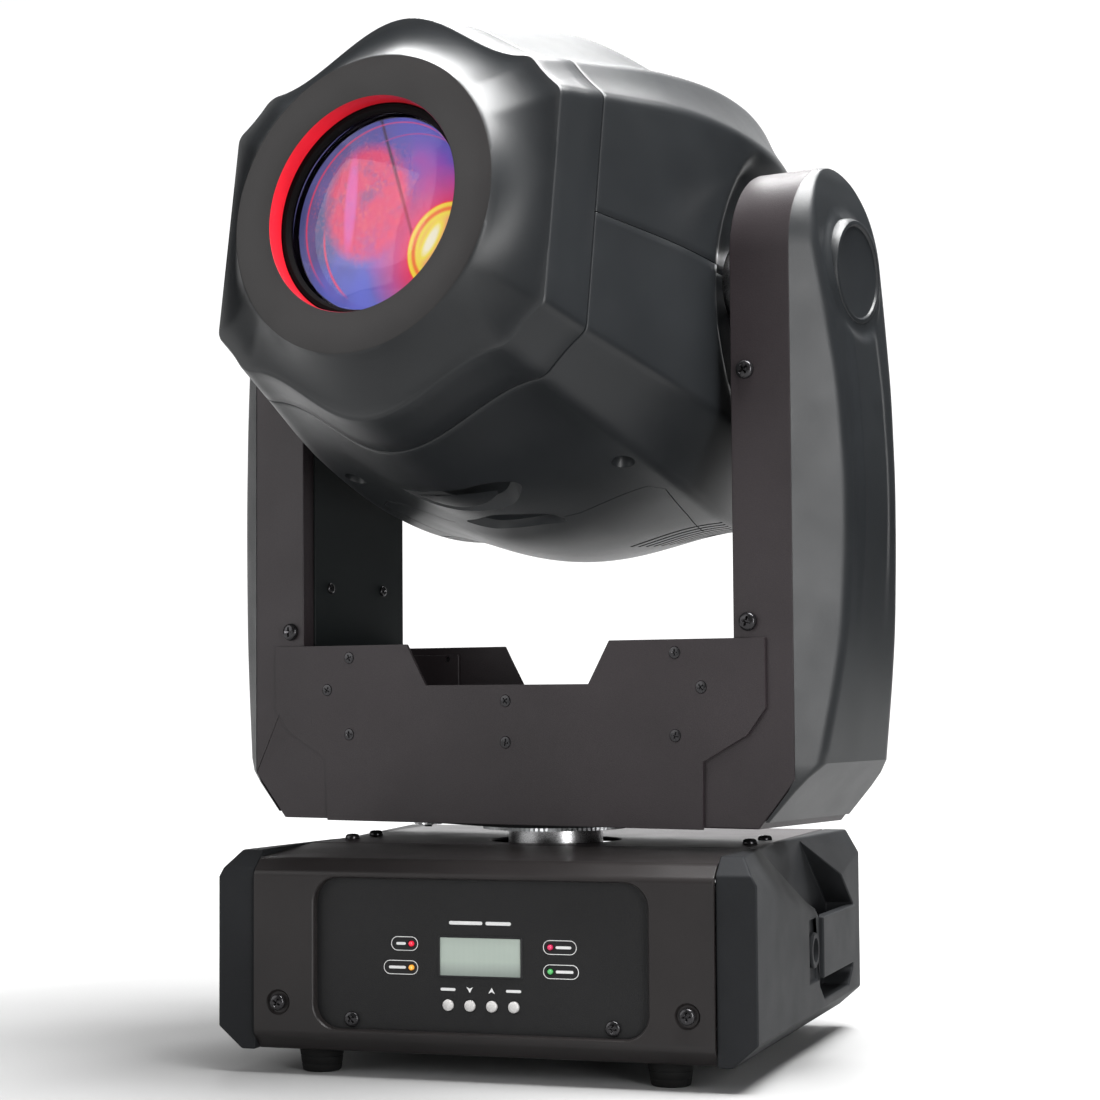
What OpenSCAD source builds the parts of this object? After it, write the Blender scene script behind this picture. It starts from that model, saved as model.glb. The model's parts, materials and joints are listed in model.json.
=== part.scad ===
// Moving head light: base, yoke and head as separate parts.
// Frame: +Z up, front towards -Y, origin on the pan axis at the level of the feet.

/* [Base] */
// Width over the side covers
base_w = 330; // [320:1:340]
// Front face to pan axis
base_front = 148; // [144:1:152]
// Rear face to pan axis
base_rear = 148; // [144:1:152]
// Height of the lid
base_top = 131; // [130:0.5:132]
// Height of the feet
foot_h = 14; // [12:1:16]
// Spread of the feet across
foot_x = 108; // [100:1:115]
// Spread of the feet front to back
foot_y = 122; // [112:1:126]

/* [Control panel] */
// Spacing of the four buttons
button_pitch = 13.4; // [12:0.1:14]
// Radius of a button
button_r = 3.3; // [2.8:0.1:3.4]
// Width of the display window
display_w = 50; // [44:1:54]
// Height of the display window
display_h = 22.5; // [18:0.5:24]

/* [Yoke] */
// Angle of the yoke on the base, as it stands
pan_rest = -13.4; // [-20:0.1:20]
// Inner face of an arm from the pan axis
arm_in = 157; // [156:0.5:158]
// Outer edge of an arm box from the pan axis
arm_out = 196; // [195:0.5:197]
// Half depth of an arm
arm_half = 56.5; // [55:0.5:57]
// Top of the arms
arm_top = 537; // [535:0.5:539]
// Outermost point of the arm covers
cover_x = 222.4; // [220:0.1:224]

/* [Head] */
// Height of the tilt axis
tilt_z = 470; // [468:0.5:472]
// Upward tilt of the head, as it stands
tilt_rest = 9.1; // [0:0.1:20]
// Front ring face to tilt axis
ring_y = 212; // [208:1:214]
// Outer radius of the front ring
ring_r = 89.5; // [88:0.5:91]
// Radius of the lens opening
opening_r = 64.4; // [63:0.1:66]
// Wall of the casings
wall = 3; // [2.5:0.5:3.5]

/* [Hidden] */
$fn = 64;

sheet = 1.5;
gap = 0.3;
black = [0.07, 0.07, 0.075];
charcoal = [0.13, 0.13, 0.14];
powder = [0.19, 0.175, 0.18];
steel = [0.55, 0.56, 0.58];
alloy = [0.75, 0.76, 0.78];
board_green = [0.08, 0.3, 0.16];

// Base
base_half = base_w / 2;
cover_x0 = 141;
tray_x = 138;
tray_y = -134;
lid_z = base_top - sheet;
lid_hole_r = 42;
lid_front_y = -60;
lid_screws = [for (x = [-131, 131], y = [-20, 20]) [x, y]];
panel_y = -142.5;
panel_t = 2;
panel_half_w = 101.5;
panel_z0 = 28.5;
panel_z1 = 115.5;
panel_corner = 14;
button_z = 43.5;
button_x0 = 0.3 - 1.5 * button_pitch;
display_z = 71.5;
lamp_r = 1.6;
lamps = [[-42.6, 78.3, [0.85, 0.05, 0.08]], [-42.6, 64.5, [0.9, 0.6, 0.1]],
         [42.6, 78.3, [0.7, 0.05, 0.12]], [42.6, 64.5, [0.15, 0.6, 0.2]]];
panel_screws = [for (x = [-80, 80]) [x, 33.5]];
face_screws = [for (x = [-125, 125]) [x, 42.5]];
inlet = [-85, 52];
sockets = [[10, 52], [60, 52]];
socket_r = 9.5;
bracket_holes = [for (x = [-53, 53], y = [-75, 75]) [x, y]];
bracket_hole_r = 5.5;
recess_x = 146.5;
handle_z0 = 46;
handle_z1 = 84;

// Post and pan drive
post_r = 30;
neck_r = 25;
bore_r = 15;
pulley_z = 138.5;
pulley_h = 11;
pan_pulley_r = 46;
drive_r = 9;
pan_motor_x = -98;
floor_z = 152;
floor_t = 3;
bearing_h = 18;
housing_r = 48;
bearing_r = 40;
shaft_r = 2.5;

// Yoke
plate_t = 2;
plate_z0 = 143;
plate_z1 = 255;
arm_z0 = 144;
arm_arc_z = arm_top - arm_half;
chamfer_x = 173;
chamfer_z = 172;
box_t = 2;
arm_boss_r = 41;
flange_x = 110;
flange_z = 250;
tilt_bearing_x = [159.5, 172];
tilt_bearing_r = 35;
hub_r = 22;
hub_bore_r = 14;
tilt_pulley_r = 42;
tilt_pulley_x = [180, 190];
tilt_motor_z = 268;
cross_screws = [[-119, 247], [-136.5, 226.5], [-119, 198], [0, 219], [0, 193.5],
                [119, 247], [136.5, 226.5], [119, 198]];
boss_x = 215;
boss_x0 = 207.5;
boss_r = 31;

// Casing sections from front to rear: position, half width, half height of the side,
// corner x, corner z, crest z
SECTIONS = [
  [-188, 115, 63, 93, 86, 122],
  [-155, 123, 70, 98, 96, 133],
  [-80, 141, 84, 111, 116, 153],
  [0, 145, 91, 115, 131, 168],
  [70, 131, 95, 107, 134, 164],
  [130, 109, 86, 90, 119, 143],
  [175, 86, 66, 70, 92, 110],
  [198, 62, 48, 50, 66, 78]
];
// Inside the head
rod_x = 70;
rod_r = 3;
rod_y = -58;
wheel_wall_y = -24;
wheel_x = -34;
wheel_r = 50;
fan_wall_y = 62;
fan_depth = 25;
focus_y = -95;

seam_y = -155;
rim_y = -188;
tail_y = 198;
dish = 8;
crest_lift = 12;
bulge_steps = 16;
side_steps = 6;

function section_index(y, i = 0) =
  i >= len(SECTIONS) - 2 || y < SECTIONS[i + 1][0] ? i : section_index(y, i + 1);
function section_slope(i, k) =
  let (a = max(i - 1, 0), b = min(i + 1, len(SECTIONS) - 1))
  (SECTIONS[b][k] - SECTIONS[a][k]) / (SECTIONS[b][0] - SECTIONS[a][0]);
// Smooth cubic through the sections
function section(y, k) =
  let (i = section_index(y), h = SECTIONS[i + 1][0] - SECTIONS[i][0], t = (y - SECTIONS[i][0]) / h)
  (2 * t * t * t - 3 * t * t + 1) * SECTIONS[i][k] + (t * t * t - 2 * t * t + t) * h * section_slope(i, k)
  + (3 * t * t - 2 * t * t * t) * SECTIONS[i + 1][k] + (t * t * t - t * t) * h * section_slope(i + 1, k);
function smooth(t) = let (u = min(max(t, 0), 1)) u * u * (3 - 2 * u);
// The sides step inwards round the arms, behind a curved ridge that fades out towards the edges
function ridge_y(z) = 62 - sqrt(max(112 * 112 - z * z, 0));
function side_x(y, z) =
  section(y, 1) - dish * smooth((y - ridge_y(z)) / 14) * (1 - smooth((y - 90) / 70))
  * (1 - smooth(4 * abs(z) / section(y, 2) - 2.9));
// Behind the front the crest of the upper casing stands higher than that of the lower one
function rise(y) = crest_lift * smooth((y + 120) / 100) * (1 - smooth((y - 110) / 80));
// Upper half outline from the right split line over the top to the left one, inset by t.
// side is 1 for the upper casing, -1 for the lower one and 0 in front of both.
function half_outline(y, t, side = 0) =
  let (f = section(y, 2) - 0.4 * t, cx = section(y, 3) - 0.7 * t, cz = section(y, 4) - t,
       h = section(y, 5) + side * rise(y) - t)
  concat(
    [for (i = [0:side_steps]) let (z = f * i / side_steps) [side_x(y, z) - t, z]],
    [for (i = [0:bulge_steps]) let (u = 1 - 2 * i / bulge_steps)
      [cx * u, cz + (h - cz) * (0.5 + 0.5 * cos(180 * u))]],
    [for (i = [side_steps:-1:0]) let (z = f * i / side_steps) [t - side_x(y, z), z]]
  );

// Two triangles for the four corners a, b, c, d
function quad(a, b, c, d) = [[a, b, c], [a, c, d]];
// Triangles that join loop j to loop k, each of n points
function band(j, k, n) = [for (i = [0:n - 1]) let (i1 = (i + 1) % n)
  each quad(j * n + i, j * n + i1, k * n + i1, k * n + i)];
// Closed shell from rows of points. A row runs along the outside and back along the inside.
module loft(rows) {
  n = len(rows[0]);
  m = len(rows);
  end = (m - 1) * n;
  first = [for (i = [0:n / 2 - 2]) each quad(i + 1, i, n - 1 - i, n - 2 - i)];
  last = [for (i = [0:n / 2 - 2]) each quad(end + i, end + i + 1, end + n - 2 - i, end + n - 1 - i)];
  polyhedron([for (row = rows) each row], concat([for (j = [0:m - 2]) each band(j, j + 1, n)], first, last),
             convexity = 8);
}

module in_yoke() { rotate([0, 0, pan_rest]) children(); }
module in_head() { in_yoke() translate([0, 0, tilt_z]) rotate([-tilt_rest, 0, 0]) children(); }
// Turns a revolve or cylinder so that its +Z points to the front, back or side
module facing_front() { rotate([90, 0, 0]) children(); }
module facing_back() { rotate([-90, 0, 0]) children(); }
module facing_right() { rotate([0, 90, 0]) children(); }
module both_sides() {
  children();
  mirror([1, 0, 0]) children();
}
module ring(outer, inner, h) {
  difference() {
    cylinder(r = outer, h = h);
    translate([0, 0, -1]) cylinder(r = inner, h = h + 2);
  }
}
module rounded(w, h, r) {
  square([w - 2 * r, h], center = true);
  square([w, h - 2 * r], center = true);
  for (x = [-1, 1], y = [-1, 1]) translate([x * (w / 2 - r), y * (h / 2 - r)]) circle(r);
}
// A profile drawn in Y and Z, stretched along X
module along_x(x0, x1) {
  translate([x0, 0, 0]) rotate([90, 0, 90]) linear_extrude(x1 - x0) children();
}
// A profile drawn in X and Z, stretched along Y
module along_y(y0, y1) {
  translate([0, y1, 0]) rotate([90, 0, 0]) linear_extrude(y1 - y0) children();
}
module cross_recess(r, depth) {
  for (a = [0, 90]) rotate(a) translate([-r, -r * 0.2, -depth]) cube([2 * r, r * 0.4, depth + 1]);
}
// Screw with a domed head that stands on z = 0
module pan_screw(r, h, shank_r, shank) {
  difference() {
    rotate_extrude() polygon([[0, -shank], [shank_r, -shank], [shank_r, 0], [r, 0], [r, h * 0.35],
      [r * 0.92, h * 0.65], [r * 0.72, h * 0.88], [r * 0.4, h], [0, h]]);
    translate([0, 0, h]) cross_recess(r * 0.5, h * 0.55);
  }
}
// Screw with a flat head let in below z = 0
module flat_screw(r, shank_r, shank) {
  difference() {
    rotate_extrude() polygon([[0, -shank], [shank_r, -shank], [shank_r, -1.6], [r, -0.2], [r, 0.4],
      [0, 0.4]]);
    translate([0, 0, 0.4]) cross_recess(r * 0.55, 0.9);
  }
}
module toothed(r, h, teeth, bore) {
  depth = 0.8;
  linear_extrude(h) difference() {
    polygon([for (i = [0:2 * teeth - 1]) let (a = 180 * i / teeth, s = i % 2 == 0 ? r : r - depth)
      [s * cos(a), s * sin(a)]]);
    circle(bore);
  }
}

// Base ---------------------------------------------------------------------------------------

module chassis_tray() {
  side_h = 100;
  depth = base_rear - 3 - tray_y;
  color(steel) difference() {
    union() {
      translate([-tray_x, tray_y, foot_h]) cube([2 * tray_x, depth, sheet]);
      both_sides() translate([tray_x - sheet, tray_y, foot_h]) cube([sheet, depth, side_h]);
    }
    for (p = bracket_holes) translate([p[0], p[1], foot_h - 1]) cylinder(r = bracket_hole_r, h = 4);
    for (x = [-1, 1], y = [-1, 1]) translate([x * foot_x, y * foot_y, foot_h - 1]) cylinder(r = 2.2, h = 4);
  }
}

module top_cover() {
  color(powder) difference() {
    translate([-cover_x0 + gap, lid_front_y, lid_z])
      cube([2 * (cover_x0 - gap), base_rear - lid_front_y, sheet]);
    translate([0, 0, lid_z - 1]) cylinder(r = lid_hole_r, h = 4);
    for (p = lid_screws) translate([p[0], p[1], lid_z - 1]) cylinder(r = 2.2, h = 4);
  }
}

module front_cover() {
  x = cover_x0 - gap;
  color(charcoal) difference() {
    along_x(-x, x) difference() {
      polygon([[tray_y - gap, foot_h], [-138, foot_h], [-base_front, 24], [-base_front, 119],
               [-138, 127], [lid_front_y - 0.2, base_top], [lid_front_y - 0.2, foot_h + sheet + gap],
               [tray_y - gap, foot_h + sheet + gap]]);
      polygon([[tray_y + 1, foot_h + sheet], [-136, foot_h + wall], [-base_front + wall, 25],
               [-base_front + wall, 117], [-137, 124], [lid_front_y + 1, base_top - wall],
               [lid_front_y + 1, foot_h + sheet]]);
    }
    along_y(-base_front - 1, -base_front + 20) translate([0, (panel_z0 + panel_z1) / 2])
      rounded(2 * panel_half_w + 1, panel_z1 - panel_z0 + 1, panel_corner + 0.5);
    for (p = face_screws) translate([p[0], -base_front + 5, p[1]]) facing_front() cylinder(r = 2.2, h = 8);
  }
  // Inward rim round the panel, and the posts behind the face screws
  color(charcoal) along_y(-base_front + wall, panel_y) translate([0, (panel_z0 + panel_z1) / 2])
    difference() {
      rounded(2 * panel_half_w + 5, panel_z1 - panel_z0 + 5, panel_corner + 2.5);
      rounded(2 * panel_half_w + 1, panel_z1 - panel_z0 + 1, panel_corner + 0.5);
    }
}

module rear_panel() {
  slot = [34, 3];
  color(powder) difference() {
    translate([-tray_x, base_rear - 2.5, foot_h + sheet]) cube([2 * tray_x, sheet, lid_z - foot_h - sheet]);
    translate([inlet[0] - 24.2, base_rear - 4, inlet[1] - 14.2]) cube([48.4, 6, 28.4]);
    for (p = sockets) translate([p[0], base_rear + 1, p[1]]) facing_front() cylinder(r = 12, h = 5);
    for (k = [0:5], x = [-80, -20, 40]) translate([x, base_rear - 4, 88 + k * 6]) cube([slot[0], 6, slot[1]]);
  }
}

// Right side cover: a moulded block with sloping top facets, a hand recess and a slot for fingers
module side_cover() {
  drop = 0.19;
  rise = 1.77;
  edge_z = 115.5;
  // top facet: lower along the outside, from the front and from the rear to the handle
  module facet(s) {
    polyhedron(
      [for (y = [-160, 0]) each [
        [base_half + 20, s * y, edge_z - drop * (y + 145) - 20 * rise],
        [cover_x0 - 20, s * y, edge_z - drop * (y + 145) + rise * (base_half - cover_x0 + 20)],
        [base_half + 20, s * y, 260]]],
      s > 0 ? [[0, 1, 2], [5, 4, 3], [0, 3, 4, 1], [1, 4, 5, 2], [2, 5, 3, 0]]
            : [[2, 1, 0], [3, 4, 5], [1, 4, 3, 0], [2, 5, 4, 1], [0, 3, 5, 2]]);
  }
  color(charcoal) difference() {
    along_y(-145.5, base_rear) polygon([[cover_x0, foot_h], [150, foot_h], [base_half, 27],
      [base_half, 118], [base_half - 2, base_top], [cover_x0, base_top]]);
    facet(1);
    facet(-1);
    // front slope carried round from the front cover
    along_x(cover_x0 - 1, base_half + 1) polygon([[-150, 117.2], [-150, 140], [-130, 140], [-131, 132.6]]);
    // hand recess, seen from the side as a leaning slot
    along_x(recess_x, base_half + 20) polygon([[-66, base_top + 9], [-66, base_top], [20, handle_z1],
      [20, handle_z0 - 4], [34, 32], [110, 32], [124, handle_z0 - 4], [126, handle_z1],
      [44, base_top], [44, base_top + 9]]);
    // socket recess at the front end of the handle
    translate([base_half - 2.5, -9, handle_z0]) cube([5, 26, handle_z1 - handle_z0]);
    // hollow inside
    translate([cover_x0 - 1, -140, 30]) cube([20, 66, 66]);
    translate([cover_x0 - 1, -70, 30]) cube([4, 205, 84]);
  }
}
module side_cover_right() { side_cover(); }
module side_cover_left() { mirror([1, 0, 0]) side_cover(); }

module handles() {
  grip = [base_half - 5, base_half + 2.5];
  color(charcoal) both_sides() difference() {
    along_x(grip[0], grip[1]) polygon([[20.5, handle_z0], [24, handle_z0 + 0.2], [118.5, handle_z0],
      [121.5, handle_z0 + 4], [124.5, handle_z1 - 1], [20.5, handle_z1]]);
    translate([grip[0] - 1, 60, handle_z0 + 14]) cube([2.5, 30, 10]);
  }
  // round stub that holds the front end of the bar
  color(charcoal) both_sides() translate([base_half - 5, 4, (handle_z0 + handle_z1) / 2]) facing_right()
    translate([0, 0, 2.6]) ring(11, 7.5, 3.4);
}

module panel_cuts(y, extra) {
  for (k = [0:3]) translate([button_x0 + k * button_pitch, y, button_z])
    facing_front() cylinder(r = button_r + extra, h = 10);
  for (p = lamps) translate([p[0], y, p[1]]) facing_front() cylinder(r = lamp_r + extra, h = 10);
  for (p = panel_screws) translate([p[0], y, p[1]]) facing_front() cylinder(r = 1.8, h = 10);
  translate([-display_w / 2 - extra, y - 10, display_z - display_h / 2 - extra])
    cube([display_w + 2 * extra, 10, display_h + 2 * extra]);
}
module control_panel() {
  color(black) difference() {
    along_y(panel_y, panel_y + panel_t) translate([0, (panel_z0 + panel_z1) / 2])
      rounded(2 * panel_half_w + 4, panel_z1 - panel_z0 + 4, panel_corner + 2);
    panel_cuts(panel_y + 5, 0.2);
  }
}
module display() {
  color([0.62, 0.7, 0.66]) translate([-display_w / 2, panel_y + 0.4, display_z - display_h / 2])
    cube([display_w, 4, display_h]);
  color(board_green) translate([-display_w / 2 - 4, panel_y + 4.4, display_z - display_h / 2 - 4])
    cube([display_w + 8, 1.6, display_h + 8]);
}
module status_lamps() {
  for (p = lamps) color(p[2]) translate([p[0], panel_y + 4.5, p[1]]) facing_front() {
    cylinder(r = lamp_r, h = 5);
    intersection() {
      translate([0, 0, 5]) sphere(r = lamp_r);
      translate([0, 0, 5]) cylinder(r = lamp_r + 1, h = 3);
    }
  }
}
module control_board() {
  color(board_green) translate([-60, panel_y + 9, 34]) cube([120, 1.6, 70]);
  color(black) for (k = [0:3])
    translate([button_x0 + k * button_pitch - 3, panel_y + 6.3, button_z - 3]) cube([6, 2.7, 6]);
}
module button(k) {
  color([0.72, 0.72, 0.74]) translate([button_x0 + k * button_pitch, 0, button_z]) {
    translate([0, panel_y + 5.2, 0]) facing_front() cylinder(r = button_r, h = 7);
    translate([0, panel_y + 5.2, 0]) facing_front() cylinder(r = button_r + 1, h = 1.6);
  }
}
module button_menu() { button(0); }
module button_down() { button(1); }
module button_up() { button(2); }
module button_enter() { button(3); }

module feet() {
  color(black) for (x = [-1, 1], y = [-1, 1]) translate([x * foot_x, y * foot_y, 0]) difference() {
    rotate_extrude() polygon([[0, 0], [11, 0], [12, 1], [14, foot_h], [0, foot_h]]);
    translate([0, 0, -1]) cylinder(r = 6, h = 6);
    translate([0, 0, -1]) cylinder(r = 2.2, h = foot_h + 2);
  }
}

module base_screws() {
  color(black) {
    for (p = lid_screws) translate([p[0], p[1], base_top]) pan_screw(4.6, 3.2, 2, 5);
    for (p = face_screws) translate([p[0], -base_front, p[1]]) facing_front() pan_screw(4.8, 2.8, 2, 7);
    for (p = panel_screws) translate([p[0], panel_y, p[1]]) facing_front() pan_screw(4.6, 2.2, 1.6, 6);
    for (x = [-1, 1], y = [-1, 1]) translate([x * foot_x, y * foot_y, 5]) mirror([0, 0, 1])
      pan_screw(4.5, 2.6, 2, 12);
  }
}

module power_inlet() {
  color(black) translate([inlet[0], base_rear, inlet[1]]) difference() {
    union() {
      translate([-28, -1, -17]) cube([56, 3, 34]);
      translate([-24, -26, -14]) cube([48, 25, 28]);
    }
    translate([-20, -16, -10]) cube([26, 20, 20]);
    translate([11, -10, -8]) cube([9, 14, 16]);
  }
  color(alloy) for (p = [[-7, -4], [-13, 3], [-1, 3]])
    translate([inlet[0] + p[0] - 1, base_rear - 16, inlet[1] + p[1] - 2]) cube([2, 12, 4]);
  color(charcoal) translate([inlet[0] + 11.3, base_rear - 9.7, inlet[1] - 7.7]) cube([8.4, 12.4, 15.4]);
}

module data_sockets() {
  color(black) for (p = sockets) translate([p[0], base_rear - 1, p[1]]) facing_back() difference() {
    union() {
      translate([-13, -15.5, 0]) cube([26, 31, 2.5]);
      translate([0, 0, -20]) cylinder(r = 11.6, h = 20);
    }
    translate([0, 0, -14]) cylinder(r = socket_r, h = 20);
  }
  color(alloy) for (a = [30, 150, 270])
    translate([sockets[0][0] + 4 * cos(a), base_rear - 15, sockets[0][1] + 4 * sin(a)])
      facing_back() cylinder(r = 1, h = 10);
  // insert of the socket that passes the signal on, with three contact holes
  color(charcoal) translate([sockets[1][0], base_rear - 15, sockets[1][1]]) facing_back() difference() {
    cylinder(r = 7.2, h = 10);
    for (a = [30, 150, 270]) translate([4 * cos(a), 4 * sin(a), 3]) cylinder(r = 1.2, h = 10);
  }
}

module power_supply() {
  color(alloy) translate([-110, -50, foot_h + sheet]) difference() {
    cube([95, 150, 42]);
    translate([-1, 2, 2]) cube([20, 146, 38]);
  }
}

module pan_post() {
  color(alloy) difference() {
    rotate_extrude() polygon([[bore_r, 118], [50, 118], [50, 122], [post_r, 126], [post_r, pulley_z],
      [neck_r, pulley_z], [neck_r, 184], [bore_r, 184]]);
    for (a = [45:90:315]) rotate(a) translate([42, 0, 117]) cylinder(r = 2.5, h = 8);
  }
  // plate that carries the post inside the base
  color(steel) translate([0, 0, 115.5]) difference() {
    translate([-136.4, -58, 0]) cube([2 * 136.4, 116, 2.5]);
    translate([0, 0, -1]) cylinder(r = bore_r, h = 5);
  }
}
module pan_pulley() {
  color(steel) translate([0, 0, pulley_z]) toothed(pan_pulley_r, pulley_h, 90, neck_r + 0.02);
}
module pan_nut() {
  color(steel) translate([0, 0, 175]) difference() {
    ring(34, neck_r + 0.05, 7);
    for (a = [0:90:270]) rotate(a) translate([30, -3, 3]) cube([6, 6, 5]);
  }
}

// Yoke ---------------------------------------------------------------------------------------

// Side view of an arm: straight edges and a round top, inset by t
module arm_side(t) {
  translate([-arm_half + t, arm_z0 + t]) square([2 * (arm_half - t), arm_arc_z - arm_z0 - t]);
  translate([0, arm_arc_z]) circle(arm_half - t);
}
// Front view of the sloping outer corner at the foot of an arm, moved inwards by t
module foot_slope(t) {
  along_y(-80, 80) polygon([[chamfer_x - t, arm_z0 - 5], [chamfer_x - t, arm_z0],
    [arm_out - t, chamfer_z], [arm_out + 60, chamfer_z + 78], [arm_out + 60, arm_z0 - 5]]);
}
arm_screw_x = 167;
arm_screw_z = [412, 264.5];
module arm_frame(hub_hole) {
  color(powder) difference() {
    union() {
      difference() {
        along_x(arm_in, arm_out) arm_side(0);
        foot_slope(0.6);
        difference() {
          along_x(arm_in + box_t, arm_out + 1) arm_side(box_t);
          foot_slope(3.2);
        }
      }
      translate([arm_in, 0, tilt_z]) facing_right() cylinder(r = arm_boss_r, h = tilt_bearing_x[1] - arm_in);
      // flanges that carry the cross plates
      for (y = [-arm_half, arm_half - box_t]) translate([flange_x, y, arm_z0])
        cube([arm_in + box_t - flange_x, box_t, flange_z - arm_z0]);
    }
    for (p = cross_screws) if (p[0] > flange_x) translate([p[0], 0, p[1]]) facing_back()
      cylinder(r = 1.9, h = 3 * arm_half, center = true);
    translate([arm_in - 1, 0, tilt_z]) facing_right() cylinder(r = hub_hole, h = 40);
    translate([tilt_bearing_x[0] - 0.1, 0, tilt_z]) facing_right() cylinder(r = tilt_bearing_r, h = 40);
    // window behind the access panel, and holes for its screws
    along_x(arm_in - 1, arm_in + 4) translate([0, 330]) rounded(84, 120, 6);
    for (y = [-arm_half, arm_half], z = arm_screw_z) translate([arm_screw_x, y, z]) facing_front()
      cylinder(r = 2.2, h = 8, center = true);
  }
}
module arm_frame_right() { in_yoke() arm_frame(26); }
module arm_frame_left() { in_yoke() mirror([1, 0, 0]) arm_frame(26); }

// Rows of the arm cover from bottom to top: height and outermost x
COVER = [[182, 209], [228, 216.3], [261, 220.2], [310, 222.2], [350, cover_x], [404, 219.5],
         [456, 213], [480, 209.5], [505, 206], [525, 202.5], [535, 199]];
function cover_lerp(z, i = 0) =
  i >= len(COVER) - 2 || z < COVER[i + 1][0]
    ? let (t = min(max((z - COVER[i][0]) / (COVER[i + 1][0] - COVER[i][0]), 0), 1))
      COVER[i][1] + (COVER[i + 1][1] - COVER[i][1]) * t
    : cover_lerp(z, i + 1);
function cover_half(z) =
  z < arm_arc_z ? arm_half : sqrt(max(arm_half * arm_half - (z - arm_arc_z) * (z - arm_arc_z), 4));
// Foot of the cover: its inner edge follows the sloping corner of the arm, its outside runs beside it
cover_foot = [176.5, 146];
function cover_edge(z) =
  gap + min(arm_out - gap, chamfer_x + (z - arm_z0) * (arm_out - chamfer_x) / (chamfer_z - arm_z0));
function cover_side(z) =
  z > COVER[0][0] ? cover_lerp(z)
    : cover_foot[0] + (z - cover_foot[1]) * (COVER[0][1] - cover_foot[0]) / (COVER[0][0] - cover_foot[1]);
// One cross section of the cover: outer points from front to rear, then the inner ones back
function cover_row(z) =
  let (a = cover_half(z), x0 = cover_edge(z), x = cover_side(z), p = x - x0, q = min(p / 1.2, a * 0.6),
       b = a - q, s = 2 * smooth((z - 300) / 70) * (1 - smooth((z - 500) / 25)), c = min(0.5 * b, 24),
       e = min(c + 4, 0.8 * b), w = min(2.4, 0.5 * p))
  [for (v = concat(
    [[x0, -a], [x, -b], [x + 0.3 * s, -e], [x + s, -c], [x + s, c], [x + 0.3 * s, e],
     [x, b], [x0, a]],
    [[x0, a - w], [x - w, b - w * 0.4], [x - w, 0.9 * e], [x - w, 0.9 * c], [x - w, -0.9 * c],
     [x - w, -0.9 * e], [x - w, w * 0.4 - b], [x0, w - a]])) [v[0], v[1], z]];
cover_heights = [148, 158, 172, 182, 205, 228, 261, 285, 310, 350, 380, 404, 430, 456, 470, 480, 490, 500,
                 508, 515, 521, 526, 530, 533, 535, 536.4];
module arm_cover() {
  color(charcoal) union() {
    loft([for (z = reversed(cover_heights)) cover_row(z)]);
    translate([boss_x0, 0, tilt_z + 3]) facing_right() rotate_extrude() polygon([[0, 0], [boss_r, 0],
      [boss_r, boss_x - boss_x0 - 1], [boss_r - 1, boss_x - boss_x0], [boss_r - 3, boss_x - boss_x0],
      [boss_r - 4, boss_x - boss_x0 - 1.5], [0, boss_x - boss_x0 - 1.5]]);
  }
}
module arm_cover_right() { in_yoke() arm_cover(); }
module arm_cover_left() { in_yoke() mirror([1, 0, 0]) arm_cover(); }

panel_sheet = 1.5;
inner_screw_y = [-29, 30];
inner_screw_z = 293.5;
module inner_panels() {
  color(charcoal) in_yoke() both_sides() difference() {
    along_x(arm_in - panel_sheet, arm_in) translate([4, 318]) rounded(100, 226, 3);
    for (y = inner_screw_y) translate([arm_in - 2, y, inner_screw_z]) facing_right() cylinder(r = 1.7, h = 4);
  }
}

module cross_plate() {
  half = 178.4;
  body = 136.8;
  right = [[half, plate_z1], [half, 214], [166, 198], [body, 183], [body, plate_z0]];
  color(powder) difference() {
    along_y(arm_half, arm_half + plate_t) polygon(concat(
      right, [for (i = [len(right) - 1:-1:0]) [-right[i][0], right[i][1]]],
      [[-73.9, plate_z1], [-59.7, 228.5], [59.7, 228.5], [73.9, plate_z1]]));
    for (p = cross_screws) translate([p[0], arm_half + plate_t, p[1]]) facing_back() rotate_extrude()
      polygon([[0, -4], [1.9, -4], [1.9, -1.6], [3.8, -0.2], [3.8, 1], [0, 1]]);
  }
}
module cross_plate_rear() { in_yoke() cross_plate(); }
module cross_plate_front() { in_yoke() rotate([0, 0, 180]) cross_plate(); }

module yoke_floor() {
  half = arm_half - box_t - 0.2;
  color(powder) in_yoke() difference() {
    union() {
      translate([-arm_in + 0.2, -half, floor_z]) cube([2 * (arm_in - 0.2), 2 * half, floor_t]);
      for (y = [-arm_half, arm_half - box_t]) translate([-flange_x + gap, y, arm_z0])
        cube([2 * (flange_x - gap), box_t, floor_z + 50 - arm_z0]);
      for (y = [-half - 0.2, half - 1]) translate([-flange_x + gap, y, floor_z])
        cube([2 * (flange_x - gap), 1.2, floor_t]);
      translate([0, 0, floor_z]) cylinder(r = housing_r, h = floor_t + bearing_h);
    }
    translate([0, 0, floor_z + 2]) cylinder(r = bearing_r, h = 40);
    translate([0, 0, floor_z - 1]) cylinder(r = neck_r + 6, h = 40);
    translate([pan_motor_x, 0, floor_z - 1]) cylinder(r = 11.2, h = 10);
    for (p = cross_screws) if (p[1] < floor_z + 50) translate([p[0], 0, p[1]]) facing_back()
      cylinder(r = 1.9, h = 3 * arm_half, center = true);
  }
}
module pan_bearing() {
  z = floor_z + 2;
  color(alloy) in_yoke() translate([0, 0, z]) {
    ring(bearing_r - 0.01, 35.5, bearing_h);
    ring(30, neck_r + 0.02, bearing_h);
    for (a = [0:30:330]) rotate(a) translate([32.75, 0, bearing_h / 2]) sphere(r = 3.1);
    difference() {
      ring(35.5, 30, 2);
      for (a = [0:30:330]) rotate(a) translate([32.75, 0, bearing_h / 2]) sphere(r = 3.1);
    }
  }
}
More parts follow.
